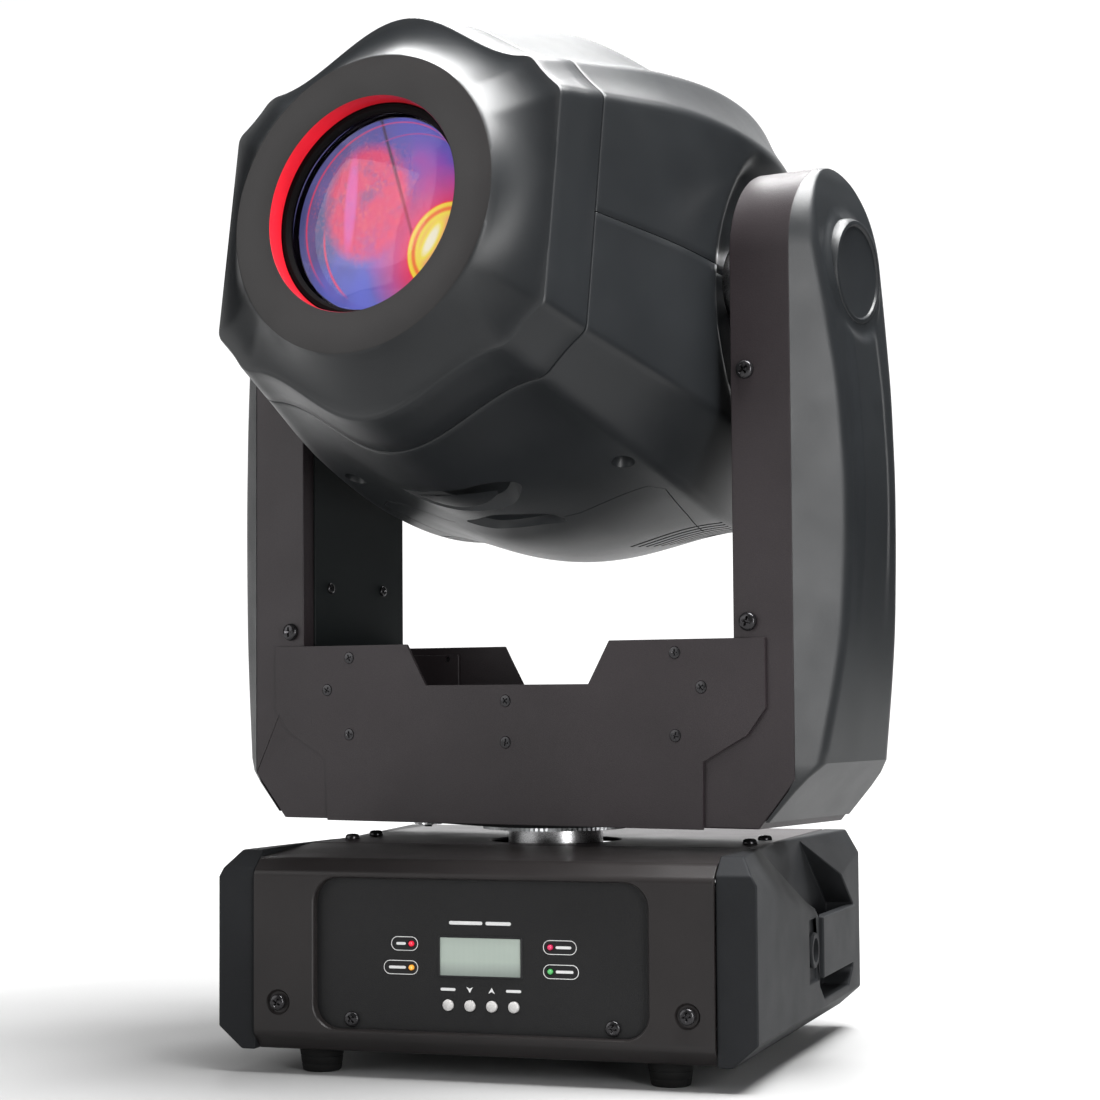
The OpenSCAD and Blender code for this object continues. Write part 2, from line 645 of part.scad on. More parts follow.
module pan_motor() {
  z = floor_z + floor_t;
  color(black) in_yoke() translate([pan_motor_x, 0, z]) difference() {
    translate([-21, -21, 0]) cube([42, 42, 40]);
    for (a = [45:90:315]) rotate(a) translate([31, 0, -1]) rotate(45) cube([12, 12, 90], center = true);
  }
  color(alloy) in_yoke() translate([pan_motor_x, 0, z]) {
    translate([0, 0, -2]) cylinder(r = 11, h = 2);
    translate([0, 0, -18]) cylinder(r = shaft_r, h = 16.5);
  }
}
// Closed belt round two pulleys a distance d apart along X
module belt(d, r0, r1, h) {
  linear_extrude(h) difference() {
    hull() { circle(r0 + 1.8); translate([d, 0]) circle(r1 + 1.8); }
    hull() { circle(r0 + gap); translate([d, 0]) circle(r1 + gap); }
  }
}
module pan_belt() {
  color(black) in_yoke() translate([0, 0, pulley_z + 2]) belt(pan_motor_x, pan_pulley_r, drive_r, 7);
}
module pan_drive_pulley() {
  color(alloy) in_yoke() translate([pan_motor_x, 0, pulley_z]) toothed(drive_r, 11, 18, shaft_r + 0.02);
}

module tilt_motor() {
  color(black) in_yoke() translate([193, 0, tilt_motor_z]) difference() {
    translate([0, -21, -21]) cube([20, 42, 42]);
    for (a = [45:90:315]) rotate([a, 0, 0]) translate([10, 0, 31]) rotate([45, 0, 0])
      cube([60, 12, 12], center = true);
  }
  color(alloy) in_yoke() translate([0, 0, tilt_motor_z]) {
    translate([178, 0, 0]) facing_right() cylinder(r = shaft_r, h = 14);
    translate([191, 0, 0]) facing_right() difference() {
      translate([-32, -(arm_half - box_t - 0.2), 0]) cube([64, 2 * (arm_half - box_t - 0.2), 2]);
      for (x = [-26, 26], y = [-40, 40]) translate([x, y, -1]) cylinder(r = 2.2, h = 4);
    }
  }
}
module tilt_belt() {
  color(black) in_yoke() translate([tilt_pulley_x[0] + 1.5, 0, tilt_z]) facing_right()
    belt(tilt_z - tilt_motor_z, tilt_pulley_r, drive_r, 7);
}
module tilt_drive_pulley() {
  color(alloy) in_yoke() translate([tilt_pulley_x[0], 0, tilt_motor_z]) facing_right()
    toothed(drive_r, 10, 18, shaft_r + 0.02);
}
module tilt_bearings() {
  color(alloy) in_yoke() both_sides() translate([tilt_bearing_x[0], 0, tilt_z]) facing_right() {
    w = tilt_bearing_x[1] - tilt_bearing_x[0];
    ring(tilt_bearing_r - 0.01, 31.5, w);
    ring(26.5, hub_r + 0.02, w);
    for (a = [0:30:330]) rotate(a) translate([29, 0, w / 2]) sphere(r = 2.8);
    difference() {
      ring(31.5, 26.5, 2);
      for (a = [0:30:330]) rotate(a) translate([29, 0, w / 2]) sphere(r = 2.8);
    }
  }
}
module yoke_screws() {
  color(black) in_yoke() {
    for (s = [0, 180]) rotate([0, 0, s]) {
      for (p = cross_screws) translate([p[0], arm_half + plate_t, p[1]]) facing_back()
        flat_screw(3.6, 1.7, 3);
      both_sides() for (z = arm_screw_z) translate([arm_screw_x, arm_half, z]) facing_back()
        pan_screw(5.6, 3.6, 2, 6);
    }
    both_sides() for (y = inner_screw_y) translate([arm_in - panel_sheet, y, inner_screw_z])
      rotate([0, -90, 0]) pan_screw(3.6, 1.8, 1.6, 1.4);
  }
}

// Head ---------------------------------------------------------------------------------------

module shell_solid(side) {
  rows = [-154.6, -135, -112, -90, -72, -58, -50, -42, -34, -24, -10, 8, 28, 50, 72, 95, 115, 135, 152,
          168, 182, 192, tail_y];
  loft([for (y = rows) [for (p = concat(half_outline(y, 0, side), reversed(half_outline(y, wall, side))))
    [p[0], y, p[1] + 0.15]]]);
}
function reversed(a) = [for (i = [len(a) - 1:-1:0]) a[i]];
module casing_cuts() {
  both_sides() translate([110, 0, 0]) facing_right() cylinder(r = 27, h = 60);
}
module upper_shell() {
  color(charcoal) in_head() difference() {
    shell_solid(1);
    casing_cuts();
  }
}
module lower_shell() {
  color(charcoal) in_head() difference() {
    mirror([0, 0, 1]) shell_solid(-1);
    casing_cuts();
    // deep round holes for the casing screws
    for (p = casing_screws()) translate([p[0], p[1], -180]) cylinder(r = 6.5, h = 70);
  }
}
function casing_screws() = [for (x = [-98, 98], y = [-62, 95]) [x * (y > 0 ? 0.8 : 1), y]];

// Full outline of the band with n points, mapped to a circle of radius r when r > 0
function full_outline(y, t) =
  let (top = half_outline(y, t), n = len(top)) concat(top, [for (i = [n - 2:-1:1]) [top[i][0], -top[i][1]]]);
function to_circle(points, r) = [for (p = points) r * p / norm(p)];
module bezel_solid() {
  cove = 6;
  rim = full_outline(rim_y, 0);
  rim_in = full_outline(rim_y, wall);
  n = len(rim);
  outer = concat(
    [[-ring_y, to_circle(rim, opening_r)], [-ring_y, to_circle(rim, ring_r)]],
    [for (k = [1:cove]) let (u = k / cove, v = 1 - cos(90 * u))
      [rim_y - (ring_y + rim_y) * pow(1 - u, 1.6), [for (i = [0:n - 1])
        let (c = ring_r * rim[i] / norm(rim[i])) c + (rim[i] - c) * pow(u, 1.15)]]],
    [[rim_y + 3, full_outline(rim_y + 3, 0)], [-170, full_outline(-170, 0)],
     [seam_y - 0.4, full_outline(seam_y - 0.4, 0)]]);
  inner = [[seam_y - 0.4, full_outline(seam_y - 0.4, wall)], [-170, full_outline(-170, wall)],
    [rim_y + 4, rim_in], [-ring_y + wall, to_circle(rim, ring_r - 2)],
    [-ring_y + wall, to_circle(rim, opening_r + wall)], [-ring_y + 11, to_circle(rim, opening_r + wall)],
    [-ring_y + 11, to_circle(rim, opening_r)]];
  loops = concat(outer, inner);
  m = len(loops);
  polyhedron([for (l = loops) each [for (p = l[1]) [p[0], l[0], p[1]]]],
             [for (j = [0:m - 1]) each band(j, (j + 1) % m, n)], convexity = 10);
}
module front_bezel() { color(charcoal) in_head() bezel_solid(); }

module lens_hood() {
  color(black) in_head() facing_front() rotate_extrude() polygon([[61, 148], [68.5, 148], [68.5, 151],
    [64, 151], [64, 200.8], [59, 200.8], [59, 198], [61.5, 196.5], [61.5, 189], [58, 189], [58, 186],
    [61, 184]]);
}
module front_lens() {
  color([0.35, 0.32, 0.6, 0.6]) in_head() facing_front() rotate_extrude()
    polygon(concat([[0, 182]], [[56, 190], [60.8, 190], [60.8, 194.5]],
      [for (i = [0:9]) let (r = 58 * (1 - i / 9)) [r, 194.5 + 12 * (1 - r * r / (58 * 58))]]));
}
module rear_grille() {
  color(black) in_head() difference() {
    along_y(tail_y - 5, tail_y - 2) scale([0.9, 0.9]) polygon(full_outline(tail_y - 4, wall + 1));
    for (k = [-4:4]) translate([0, tail_y - 4, k * 11])
      cube([2 * (46 - abs(k) * 1.5), 12, 4], center = true);
  }
}
module bulkhead(y, hole) {
  translate([-95, y, -52]) difference() {
    cube([190, 2, 104]);
    translate([95, 3, 52]) facing_front() cylinder(r = hole, h = 4);
  }
}
module head_frame() {
  color(steel) in_head() difference() {
    union() {
      both_sides() translate([95, -148, -52]) cube([2, 278, 104]);
      bulkhead(-148, 60);
      bulkhead(rod_y, 30);
      bulkhead(wheel_wall_y, 14);
      bulkhead(fan_wall_y, 40);
      for (x = [-rod_x, rod_x]) translate([x, rod_y + 1, 0]) facing_front()
        cylinder(r = rod_r, h = 148 + rod_y - 1);
      translate([wheel_x, wheel_wall_y + 1, 0]) facing_front() cylinder(r = rod_r, h = 30);
    }
    for (x = [-110, 90]) translate([x, 0, 0]) facing_right() cylinder(r = hub_bore_r, h = 20);
  }
}
module tilt_hubs() {
  hub_end = [192, 176];
  color(alloy) in_head() for (k = [0, 1]) mirror([k, 0, 0]) translate([97, 0, 0]) facing_right()
    rotate_extrude() polygon([[hub_bore_r, 0], [34, 0], [34, 5], [hub_r + 3, 8], [hub_r + 3, 61.6],
      [hub_r, 61.6], [hub_r, hub_end[k] - 97], [hub_bore_r, hub_end[k] - 97]]);
}
module tilt_pulley() {
  color(alloy) in_head() translate([tilt_pulley_x[0], 0, 0]) facing_right()
    toothed(tilt_pulley_r, 10, 84, hub_r + 0.02);
}
module led_engine() {
  color(board_green) in_head() translate([-42, 20, -42]) cube([84, 4, 84]);
  color([0.9, 0.85, 0.4]) in_head() translate([0, 20, 0]) facing_front() cylinder(r = 16, h = 2);
  color(alloy) in_head() translate([0, 18, 0]) facing_front() rotate_extrude()
    polygon([[20, 0], [24, 0], [34, 30], [31, 30]]);
}
module heatsink() {
  color(alloy) in_head() difference() {
    translate([-50, 24, -46]) cube([100, fan_wall_y - 24, 92]);
    for (k = [0:10]) translate([-46 + k * 8.5, 34, -50]) cube([5.5, 30, 100]);
  }
}
module fan_frame() {
  back = fan_wall_y + 2 + fan_depth;
  color(black) in_head() {
    translate([0, back - fan_depth, 0]) difference() {
      translate([-46, 0, -46]) cube([92, fan_depth, 92]);
      translate([0, fan_depth + 1, 0]) facing_front() cylinder(r = 43, h = fan_depth + 2);
      for (x = [-40, 40], z = [-40, 40]) translate([x, fan_depth + 1, z]) facing_front()
        cylinder(r = 2.2, h = fan_depth + 2);
    }
    translate([0, back - 3, 0]) facing_back() cylinder(r = 16, h = 3);
    for (a = [45:90:315]) rotate([0, a, 0]) translate([15, back - 2.5, -2]) cube([30, 2, 4]);
  }
  color(alloy) in_head() translate([0, back - 3, 0]) facing_front() cylinder(r = 2, h = 16);
}
module fan_rotor() {
  color(charcoal) in_head() translate([0, fan_wall_y + fan_depth - 2, 0]) facing_front() difference() {
    union() {
      cylinder(r = 17, h = 18);
      for (a = [0:360 / 7:359]) rotate(a) translate([14, -1, 9]) rotate([35, 0, 0])
        translate([0, 0, -8]) cube([26.5, 1.8, 16]);
    }
    translate([0, 0, -1]) cylinder(r = 2.06, h = 17);
  }
}
// A wheel of filters that turns on its own pin beside the beam
module filter_wheel(y, cx, cz, count, hole) {
  translate([cx, y, cz]) facing_front() difference() {
    cylinder(r = wheel_r, h = 1.6);
    for (i = [0:count - 1]) rotate(i * 360 / count) translate([34, 0, -1]) cylinder(r = hole, h = 4);
    translate([0, 0, -1]) cylinder(r = rod_r + 0.05, h = 4);
  }
}
module colour_wheel() {
  color(alloy) in_head() filter_wheel(-30, wheel_x, 0, 8, 10.5);
  for (i = [1:7]) color([[0.9, 0.2, 0.2], [0.2, 0.3, 0.9], [0.2, 0.8, 0.3], [0.9, 0.8, 0.2],
    [0.8, 0.2, 0.8], [0.2, 0.8, 0.9], [0.95, 0.5, 0.1]][i - 1])
    in_head() translate([wheel_x, -30.2, 0]) facing_front() rotate(i * 45) translate([34, 0, 0])
      cylinder(r = 10.4, h = 1.1);
}
module gobo_wheel() { color(steel) in_head() filter_wheel(-42, wheel_x, 0, 7, 9.5); }
module focus_carriage() {
  color(charcoal) in_head() translate([0, focus_y, 0]) facing_front() difference() {
    union() {
      cylinder(r = 44, h = 8);
      translate([-78, -7, 0]) cube([156, 14, 8]);
    }
    translate([0, 0, -1]) cylinder(r = 37.5, h = 12);
    for (x = [-rod_x, rod_x]) translate([x, 0, -1]) cylinder(r = rod_r + 0.05, h = 12);
  }
  color([0.6, 0.65, 0.8, 0.6]) in_head() translate([0, focus_y + 1, 0]) facing_front() rotate_extrude()
    polygon([[0, 0], [20, 1.2], [37.45, 4], [37.45, 7], [20, 10], [0, 11.2]]);
}
module head_screws() {
  color(black) in_head() for (p = casing_screws()) translate([p[0], p[1], -112]) mirror([0, 0, 1])
    pan_screw(4.2, 2.6, 1.9, 8);
}

chassis_tray();
top_cover();
front_cover();
rear_panel();
side_cover_left();
side_cover_right();
handles();
control_panel();
display();
status_lamps();
control_board();
button_menu();
button_down();
button_up();
button_enter();
feet();
base_screws();
power_inlet();
data_sockets();
power_supply();
pan_post();
pan_pulley();
pan_nut();
arm_frame_left();
arm_frame_right();
arm_cover_left();
arm_cover_right();
inner_panels();
cross_plate_front();
cross_plate_rear();
yoke_floor();
pan_bearing();
pan_motor();
pan_belt();
pan_drive_pulley();
tilt_motor();
tilt_belt();
tilt_drive_pulley();
tilt_bearings();
yoke_screws();
front_bezel();
lens_hood();
front_lens();
upper_shell();
lower_shell();
rear_grille();
head_frame();
tilt_hubs();
tilt_pulley();
led_engine();
heatsink();
fan_frame();
fan_rotor();
colour_wheel();
gobo_wheel();
focus_carriage();
head_screws();
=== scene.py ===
"""Looks of the moving head light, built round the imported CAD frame."""
import json
import math

import bmesh
import bpy
from mathutils import Matrix, Vector

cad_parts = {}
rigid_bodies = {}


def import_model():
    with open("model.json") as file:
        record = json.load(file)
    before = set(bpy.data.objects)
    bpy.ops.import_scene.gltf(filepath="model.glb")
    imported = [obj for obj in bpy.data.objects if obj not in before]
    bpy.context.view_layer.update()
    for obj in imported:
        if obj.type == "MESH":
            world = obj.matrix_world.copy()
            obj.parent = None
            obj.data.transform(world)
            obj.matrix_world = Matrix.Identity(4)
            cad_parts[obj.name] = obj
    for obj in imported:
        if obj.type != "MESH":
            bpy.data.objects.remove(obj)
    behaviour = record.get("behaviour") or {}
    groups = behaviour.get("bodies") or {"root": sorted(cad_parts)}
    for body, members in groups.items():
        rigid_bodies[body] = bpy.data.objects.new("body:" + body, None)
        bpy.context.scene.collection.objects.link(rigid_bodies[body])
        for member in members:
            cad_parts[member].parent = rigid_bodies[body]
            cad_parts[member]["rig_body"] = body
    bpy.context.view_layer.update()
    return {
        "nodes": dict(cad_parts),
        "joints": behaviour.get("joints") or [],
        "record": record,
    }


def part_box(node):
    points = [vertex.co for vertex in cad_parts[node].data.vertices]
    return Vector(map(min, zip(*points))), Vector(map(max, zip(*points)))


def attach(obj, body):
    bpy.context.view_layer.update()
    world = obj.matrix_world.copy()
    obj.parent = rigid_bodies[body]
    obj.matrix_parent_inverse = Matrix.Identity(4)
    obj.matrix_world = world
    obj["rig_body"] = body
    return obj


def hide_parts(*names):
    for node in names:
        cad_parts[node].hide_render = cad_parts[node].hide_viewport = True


MM = 0.001

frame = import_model()
nodes = frame["nodes"]
joints = {j["name"]: j for j in frame["joints"]}


# ---- Places taken from the frame

def basis(x_axis, y_axis, origin):
    """Matrix from a part's own axes, in metres, to the row frame."""
    z_axis = x_axis.cross(y_axis)
    m = Matrix((x_axis, y_axis, z_axis)).transposed().to_4x4()
    m.translation = origin
    return m


tilt_origin = Vector(joints["tilt"]["pos_m"])
right = -Vector(joints["tilt"]["axis"]).normalized()
beam = Vector(joints["focus_slide"]["axis"]).normalized()
up = Vector((0, 0, 1))
HEAD = basis(right, -beam, tilt_origin)
AXES = {"yoke": basis(right, up.cross(right), Vector((0, 0, 0))), "head": HEAD}
tilt_z = tilt_origin.z / MM


def box_mm(node):
    """Lowest and highest corner of a CAD node, in millimetres."""
    low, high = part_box(node)
    return low / MM, high / MM


# ---- Materials

class Look:
    """A procedural material under construction."""

    def __init__(self, name, place=None):
        """place is the matrix of the part whose own axes the textures follow."""
        self.mat = bpy.data.materials.new(name)
        self.mat.use_nodes = True
        self.tree = self.mat.node_tree
        self.shader = self.tree.nodes["Principled BSDF"]
        self.coord = self.tree.nodes.new("ShaderNodeTexCoord").outputs["Object"]
        if place is not None:
            inverse = place.inverted()
            self.coord = self.node("ShaderNodeMapping", (self.coord, inverse.translation,
                                                         inverse.to_euler())).outputs["Vector"]

    def set(self, **values):
        for key, value in values.items():
            self.shader.inputs[key.replace("_", " ")].default_value = value
        return self

    def node(self, kind, inputs=(), **values):
        """New node: its first input sockets take the values or links in inputs."""
        n = self.tree.nodes.new(kind)
        for key, value in values.items():
            setattr(n, key, value)
        for socket, value in zip(n.inputs, inputs):
            self.feed(socket, value)
        return n

    def feed(self, socket, value):
        if isinstance(value, bpy.types.NodeSocket):
            self.tree.links.new(value, socket)
        elif value is not None:
            socket.default_value = value

    def math(self, operation, *inputs):
        return self.node("ShaderNodeMath", inputs, operation=operation).outputs[0]

    def vector(self, operation, *inputs):
        """Vector maths, giving a number where the operation gives one."""
        outputs = self.node("ShaderNodeVectorMath", inputs, operation=operation).outputs
        return outputs["Value" if operation in ("LENGTH", "DOT_PRODUCT") else "Vector"]

    def noise(self, scale, detail=2.0, rough=0.5, stretch=(1, 1, 1)):
        """Value of a noise texture with that many features per metre."""
        mapping = self.node("ShaderNodeMapping", (self.coord,))
        mapping.inputs["Scale"].default_value = stretch
        tex = self.node("ShaderNodeTexNoise")
        tex.inputs["Scale"].default_value = scale
        tex.inputs["Detail"].default_value = detail
        tex.inputs["Roughness"].default_value = rough
        self.feed(tex.inputs["Vector"], mapping.outputs["Vector"])
        return tex.outputs["Fac"]

    def spread(self, value, low, high, a=0.3, b=0.7):
        return self.node("ShaderNodeMapRange", (value, a, b, low, high)).outputs["Result"]

    def mix(self, fac, a, b, blend="MIX"):
        m = self.node("ShaderNodeMix", data_type="RGBA", blend_type=blend)
        self.feed(m.inputs["Factor"], fac)
        for socket, colour in (("A", a), ("B", b)):
            target = [i for i in m.inputs if i.name == socket and i.type == "RGBA"][0]
            self.feed(target, colour if isinstance(colour, bpy.types.NodeSocket) else (*colour, 1))
        return [o for o in m.outputs if o.type == "RGBA"][0]

    def spot(self, centre, radius, stretch=(1, 1, 1)):
        """1 at a point of the piece's own axes, falling to 0 at that radius."""
        scaled = self.vector("MULTIPLY", self.vector("SUBTRACT", self.coord, centre), stretch)
        return self.spread(self.vector("LENGTH", scaled), 1.0, 0.0, 0.0, radius)

    def colour(self, value):
        self.feed(self.shader.inputs["Base Color"], value)
        return self

    def glow(self, value, strength):
        self.feed(self.shader.inputs["Emission Color"], value)
        self.shader.inputs["Emission Strength"].default_value = strength
        return self

    def rough(self, value, low, high):
        self.feed(self.shader.inputs["Roughness"], self.spread(value, low, high))
        return self

    def bump(self, value, depth):
        b = self.node("ShaderNodeBump")
        b.inputs["Distance"].default_value = depth
        self.feed(b.inputs["Height"], value)
        self.feed(self.shader.inputs["Normal"], b.outputs["Normal"])
        return self


WORN_SHADE = 1.6
BRUSH_GRAIN = 900


def shade(rgb, k):
    return tuple(min(c * k, 1.0) for c in rgb)


def textured(name, rgb, grain, depth, rough, metallic=0.0, variation=0.15, spec=0.32):
    """Moulded or coated surface: fine grain, slow colour drift, uneven gloss, paler worn edges."""
    look = Look(name).set(Metallic=metallic, Specular_IOR_Level=spec)
    slow = look.spread(look.noise(14, 3), 0, 1)
    drift = look.mix(slow, shade(rgb, 1 - variation), shade(rgb, 1 + variation))
    fine = look.mix(look.spread(look.noise(grain, 2), 0, 1), (0.86, 0.86, 0.86), (1.14, 1.14, 1.14))
    body = look.mix(1.0, drift, fine, "MULTIPLY")
    edge = look.node("ShaderNodeNewGeometry").outputs["Pointiness"]
    worn = look.math("MULTIPLY", look.spread(edge, 0, 0.5, 0.54, 0.66), look.noise(160, 4))
    look.colour(look.mix(worn, body, shade(rgb, WORN_SHADE)))
    look.rough(look.noise(30, 2), rough - 0.03, rough + 0.03)
    look.bump(look.noise(grain, 3, 0.6), depth)
    return look.mat


def brushed(name, rgb, rough, stretch):
    """Turned or rolled metal with fine lines across the stretched axis."""
    look = Look(name).set(Metallic=1.0)
    streaks = look.noise(BRUSH_GRAIN, 4, 0.6, stretch)
    look.colour(look.mix(look.spread(streaks, 0, 1), shade(rgb, 0.78), shade(rgb, 1.1)))
    look.rough(streaks, rough - 0.08, rough + 0.1)
    look.bump(streaks, 0.00002)
    return look.mat


casing_mat = textured("casing plastic", (0.0125, 0.0138, 0.0152), 2600, 0.00005, 0.37)
ring_mat = textured("ring plastic", (0.017, 0.0155, 0.0155), 2400, 0.00006, 0.52)
powder_mat = textured("powder coat", (0.0235, 0.0185, 0.0205), 1500, 0.00009, 0.46)
cover_mat = textured("base plastic", (0.0155, 0.0135, 0.0135), 2400, 0.00005, 0.36)
side_mat = textured("side plastic", (0.0170, 0.0178, 0.0192), 2400, 0.00005, 0.5, spec=0.06)
black_mat = textured("black plastic", (0.008, 0.008, 0.009), 2200, 0.00008, 0.5)
baffle_mat = textured("baffle black", (0.0015, 0.0012, 0.0015), 2200, 0.00008, 0.75, spec=0.1)
panel_mat = textured("panel plastic", (0.0065, 0.0065, 0.007), 1500, 0.00014, 0.5)
inner_mat = textured("inner panel paint", (0.007, 0.009, 0.0095), 1800, 0.00006, 0.45, spec=0.2)
rubber_mat = textured("rubber", (0.006, 0.006, 0.006), 900, 0.0001, 0.7, spec=0.15)
screw_mat = textured("black screw", (0.040, 0.039, 0.041), 1500, 0.00002, 0.24, metallic=0.75)
key_mat = textured("key plastic", (0.55, 0.54, 0.53), 1500, 0.00002, 0.3, variation=0.05)
ink_mat = textured("printed ink", (0.62, 0.62, 0.62), 3000, 0.00001, 0.5, variation=0.06)
steel_mat = brushed("zinc steel", (0.46, 0.47, 0.48), 0.36, (1, 1, 6))


def lamp_look(name, rgb, strength):
    """Clear coloured cap of an indicator, lit from behind."""
    look = Look(name).set(Roughness=0.1, Coat_Weight=0.6, Coat_Roughness=0.04)
    mottle = look.spread(look.noise(2500, 2), 0, 1)
    shown = look.mix(mottle, shade(rgb, 0.6), rgb)
    look.colour(shown).glow(shown, strength)
    look.bump(look.noise(1200), 0.00001)
    return look.mat


def display_look():
    """Grey-green reflective display with a darker band along its lower edge and faint cell columns."""
    look = Look("display").set(Roughness=0.16, Coat_Weight=0.5, Coat_Roughness=0.05)
    low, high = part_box("display")
    axes = look.node("ShaderNodeSeparateXYZ", (look.coord,)).outputs
    height = high.z - low.z
    band = look.spread(axes["Z"], 0.0, 1.0, low.z + 0.18 * height, low.z + 0.42 * height)
    cells = look.math("SINE", look.math("MULTIPLY", axes["X"], 2 * math.pi / 0.0031))
    tone = look.math("MULTIPLY_ADD", cells, 0.02, band)
    cloud = look.math("MULTIPLY_ADD", look.noise(60, 2), 0.25, tone)
    shown = look.mix(look.spread(cloud, 0, 1, 0, 1.2), (0.16, 0.19, 0.17), (0.30, 0.35, 0.31))
    look.colour(shown).glow(shown, 0.22)
    look.bump(look.noise(900), 0.000004)
    return look.mat


def glass_look():
    """Coated front lens: clear, with a violet tint that deepens towards grazing angles."""
    look = Look("coated glass").set(Roughness=0.02, Transmission_Weight=1.0, IOR=1.28,
                                   Specular_IOR_Level=0.2)
    facing = look.node("ShaderNodeLayerWeight", (0.35,)).outputs["Facing"]
    smear = look.math("MULTIPLY_ADD", look.noise(30, 3), 0.25, facing)
    look.colour(look.mix(look.spread(smear, 0, 1, 0.1, 0.9), (0.93, 0.92, 1.0), (0.45, 0.32, 0.85)))
    look.rough(look.noise(70, 3), 0.01, 0.035)
    return look.mat


def optic_look():
    """Lit optics behind the front lens, all of it painted light: the lamp's glow on a blue-grey mirror, a red
    cloud, a hot crescent at one side, bright streaks and a dark line are painted as colour and emission,
    though the mirror is no lamp.
    Places are across and up from the middle of what shows through the opening."""
    look = Look("lit optics", HEAD).set(Roughness=0.4)
    flat = (1, 0, 1)
    middle = (-9.5, 5)

    def at(x, z):
        return ((x + middle[0]) * MM, 0, (z + middle[1]) * MM)

    def circle(x, z, radius, width):
        """1 on a circle, falling to 0 at half the width on either side."""
        near = look.spot(at(x, z), 2 * radius * MM, flat)
        off = look.math("ABSOLUTE", look.math("SUBTRACT", near, 0.5))
        return look.spread(off, 1.0, 0.0, 0.0, width / 4 / radius)

    def bar(x, z, lean, length, width):
        """1 along the middle of a streak that leans to the right, falling to 0 at its outline."""
        c, s = math.cos(math.radians(lean)), math.sin(math.radians(lean))
        shifted = look.vector("SUBTRACT", look.coord, at(x, z))
        parts = [look.vector("DOT_PRODUCT", shifted, [share / size / MM for share in axis])
                 for axis, size in (((s, 0, c), length), ((c, 0, -s), width))]
        off = look.vector("LENGTH", look.node("ShaderNodeCombineXYZ", parts).outputs[0])
        return look.spread(off, 1.0, 0.0, 0.0, 1.0)

    def within(mask, x, z, radius, stretch=flat):
        """The mask inside a soft-edged spot."""
        spot = look.spread(look.spot(at(x, z), radius * MM, stretch), 0, 1, 0, 0.4)
        return look.math("MULTIPLY", mask, spot)

    smoke = look.noise(30, 4, 0.6)
    shown = look.mix(look.spread(smoke, 0, 1, 0.35, 0.66), (0.085, 0.100, 0.205), (0.150, 0.160, 0.330))
    violet = look.spread(smoke, 0, 0.8, 0.36, 0.66)
    for mask, spot, colour in ((smoke, (34, 38, 52), (0.045, 0.060, 0.50)),
                               (smoke, (-4, -46, 38), (0.15, 0.20, 0.72)),
                               (violet, (22, 0, 44), (0.42, 0.040, 0.30))):
        shown = look.mix(within(mask, *spot), shown, colour)
    # Painted light: the red cloud of the lamp's glow on the mirror.
    body = look.spread(look.spot(at(-2, 4), 33 * MM, (1.1, 0, 0.9)), 0, 1, 0.0, 0.22)
    patchy = look.spread(look.noise(60, 6, 0.75), 0.35, 1, 0.36, 0.52)
    shown = look.mix(look.math("MULTIPLY", body, patchy), shown, (0.86, 0.050, 0.125))
    speck = look.spread(look.noise(520, 2, 0.7), 0, 1, 0.52, 0.66)
    grains = look.math("MULTIPLY", look.spot(at(-2, 4), 44 * MM, flat), speck)
    shown = look.mix(grains, shown, (1.0, 0.20, 0.14))
    shown = look.mix(within(0.5, -13, 4, 32, (7, 0, 1)), shown, (0.95, 0.20, 0.60))
    red = look.spread(look.spot(at(50, -28), 50 * MM, flat), 0, 1, 0.0, 0.62)
    shown = look.mix(red, shown, (1.0, 0.035, 0.09))
    # Painted shade: a dark line across the glow, redder towards the hot side.
    off = look.vector("DOT_PRODUCT", look.vector("SUBTRACT", look.coord, at(0, 59.5)), (0.936, 0, 0.351))
    dark = look.spread(look.math("ABSOLUTE", off), 0.9, 0.0, 0.4 * MM, 1.6 * MM)
    low = look.spread(look.spot(at(26, -14), 50 * MM, flat), 0, 1, 0.1, 0.6)
    shown = look.mix(dark, shown, look.mix(low, (0.03, 0.008, 0.03), (0.42, 0.0, 0.02)))
    for arc, spot, colour in (((12, -5, 55, 1.8), (-38, 12, 58), (0.95, 0.060, 0.10)),
                              ((12, -5, 55, 1.4), (18, 52, 42), (0.70, 0.060, 0.16)),
                              ((23, -11, 52.5, 2.2), (-26, -32, 26), (1.0, 0.070, 0.11)),
                              ((23, -11, 52.5, 1.2), (30, 44, 34), (0.50, 0.050, 0.22))):
        shown = look.mix(within(circle(*arc), *spot), shown, colour)
    # Painted light: the lamp's hot spot, in rings from red to yellow.
    lit = look.spot(at(53, -27), 27 * MM, flat)
    for start, end, colour in ((0.0, 0.03, (1.0, 0.06, 0.03)), (0.03, 0.06, (1.0, 0.80, 0.04)),
                               (0.11, 0.16, (1.0, 0.22, 0.02)), (0.20, 0.25, (1.0, 0.85, 0.06)),
                               (0.27, 0.40, (1.0, 0.50, 0.14))):
        shown = look.mix(look.spread(lit, 0, 1, start, end), shown, colour)
    # Painted highlight: a yellow-white streak beside the hot spot.
    streak = bar(42, -22, 28, 17, 6)
    shown = look.mix(look.spread(streak, 0, 1, 0.0, 0.35), shown, (1.0, 0.88, 0.06))
    shown = look.mix(look.spread(streak, 0, 1, 0.35, 0.65), shown, (1.0, 1.0, 0.62))
    # The painted picture is given as emission as well as colour, so the mirror glows.
    look.colour(look.mix(0.9, shown, (0.01, 0.01, 0.01))).glow(shown, 0.92)
    look.bump(look.noise(25, 2), 0.0004)
    return look.mat


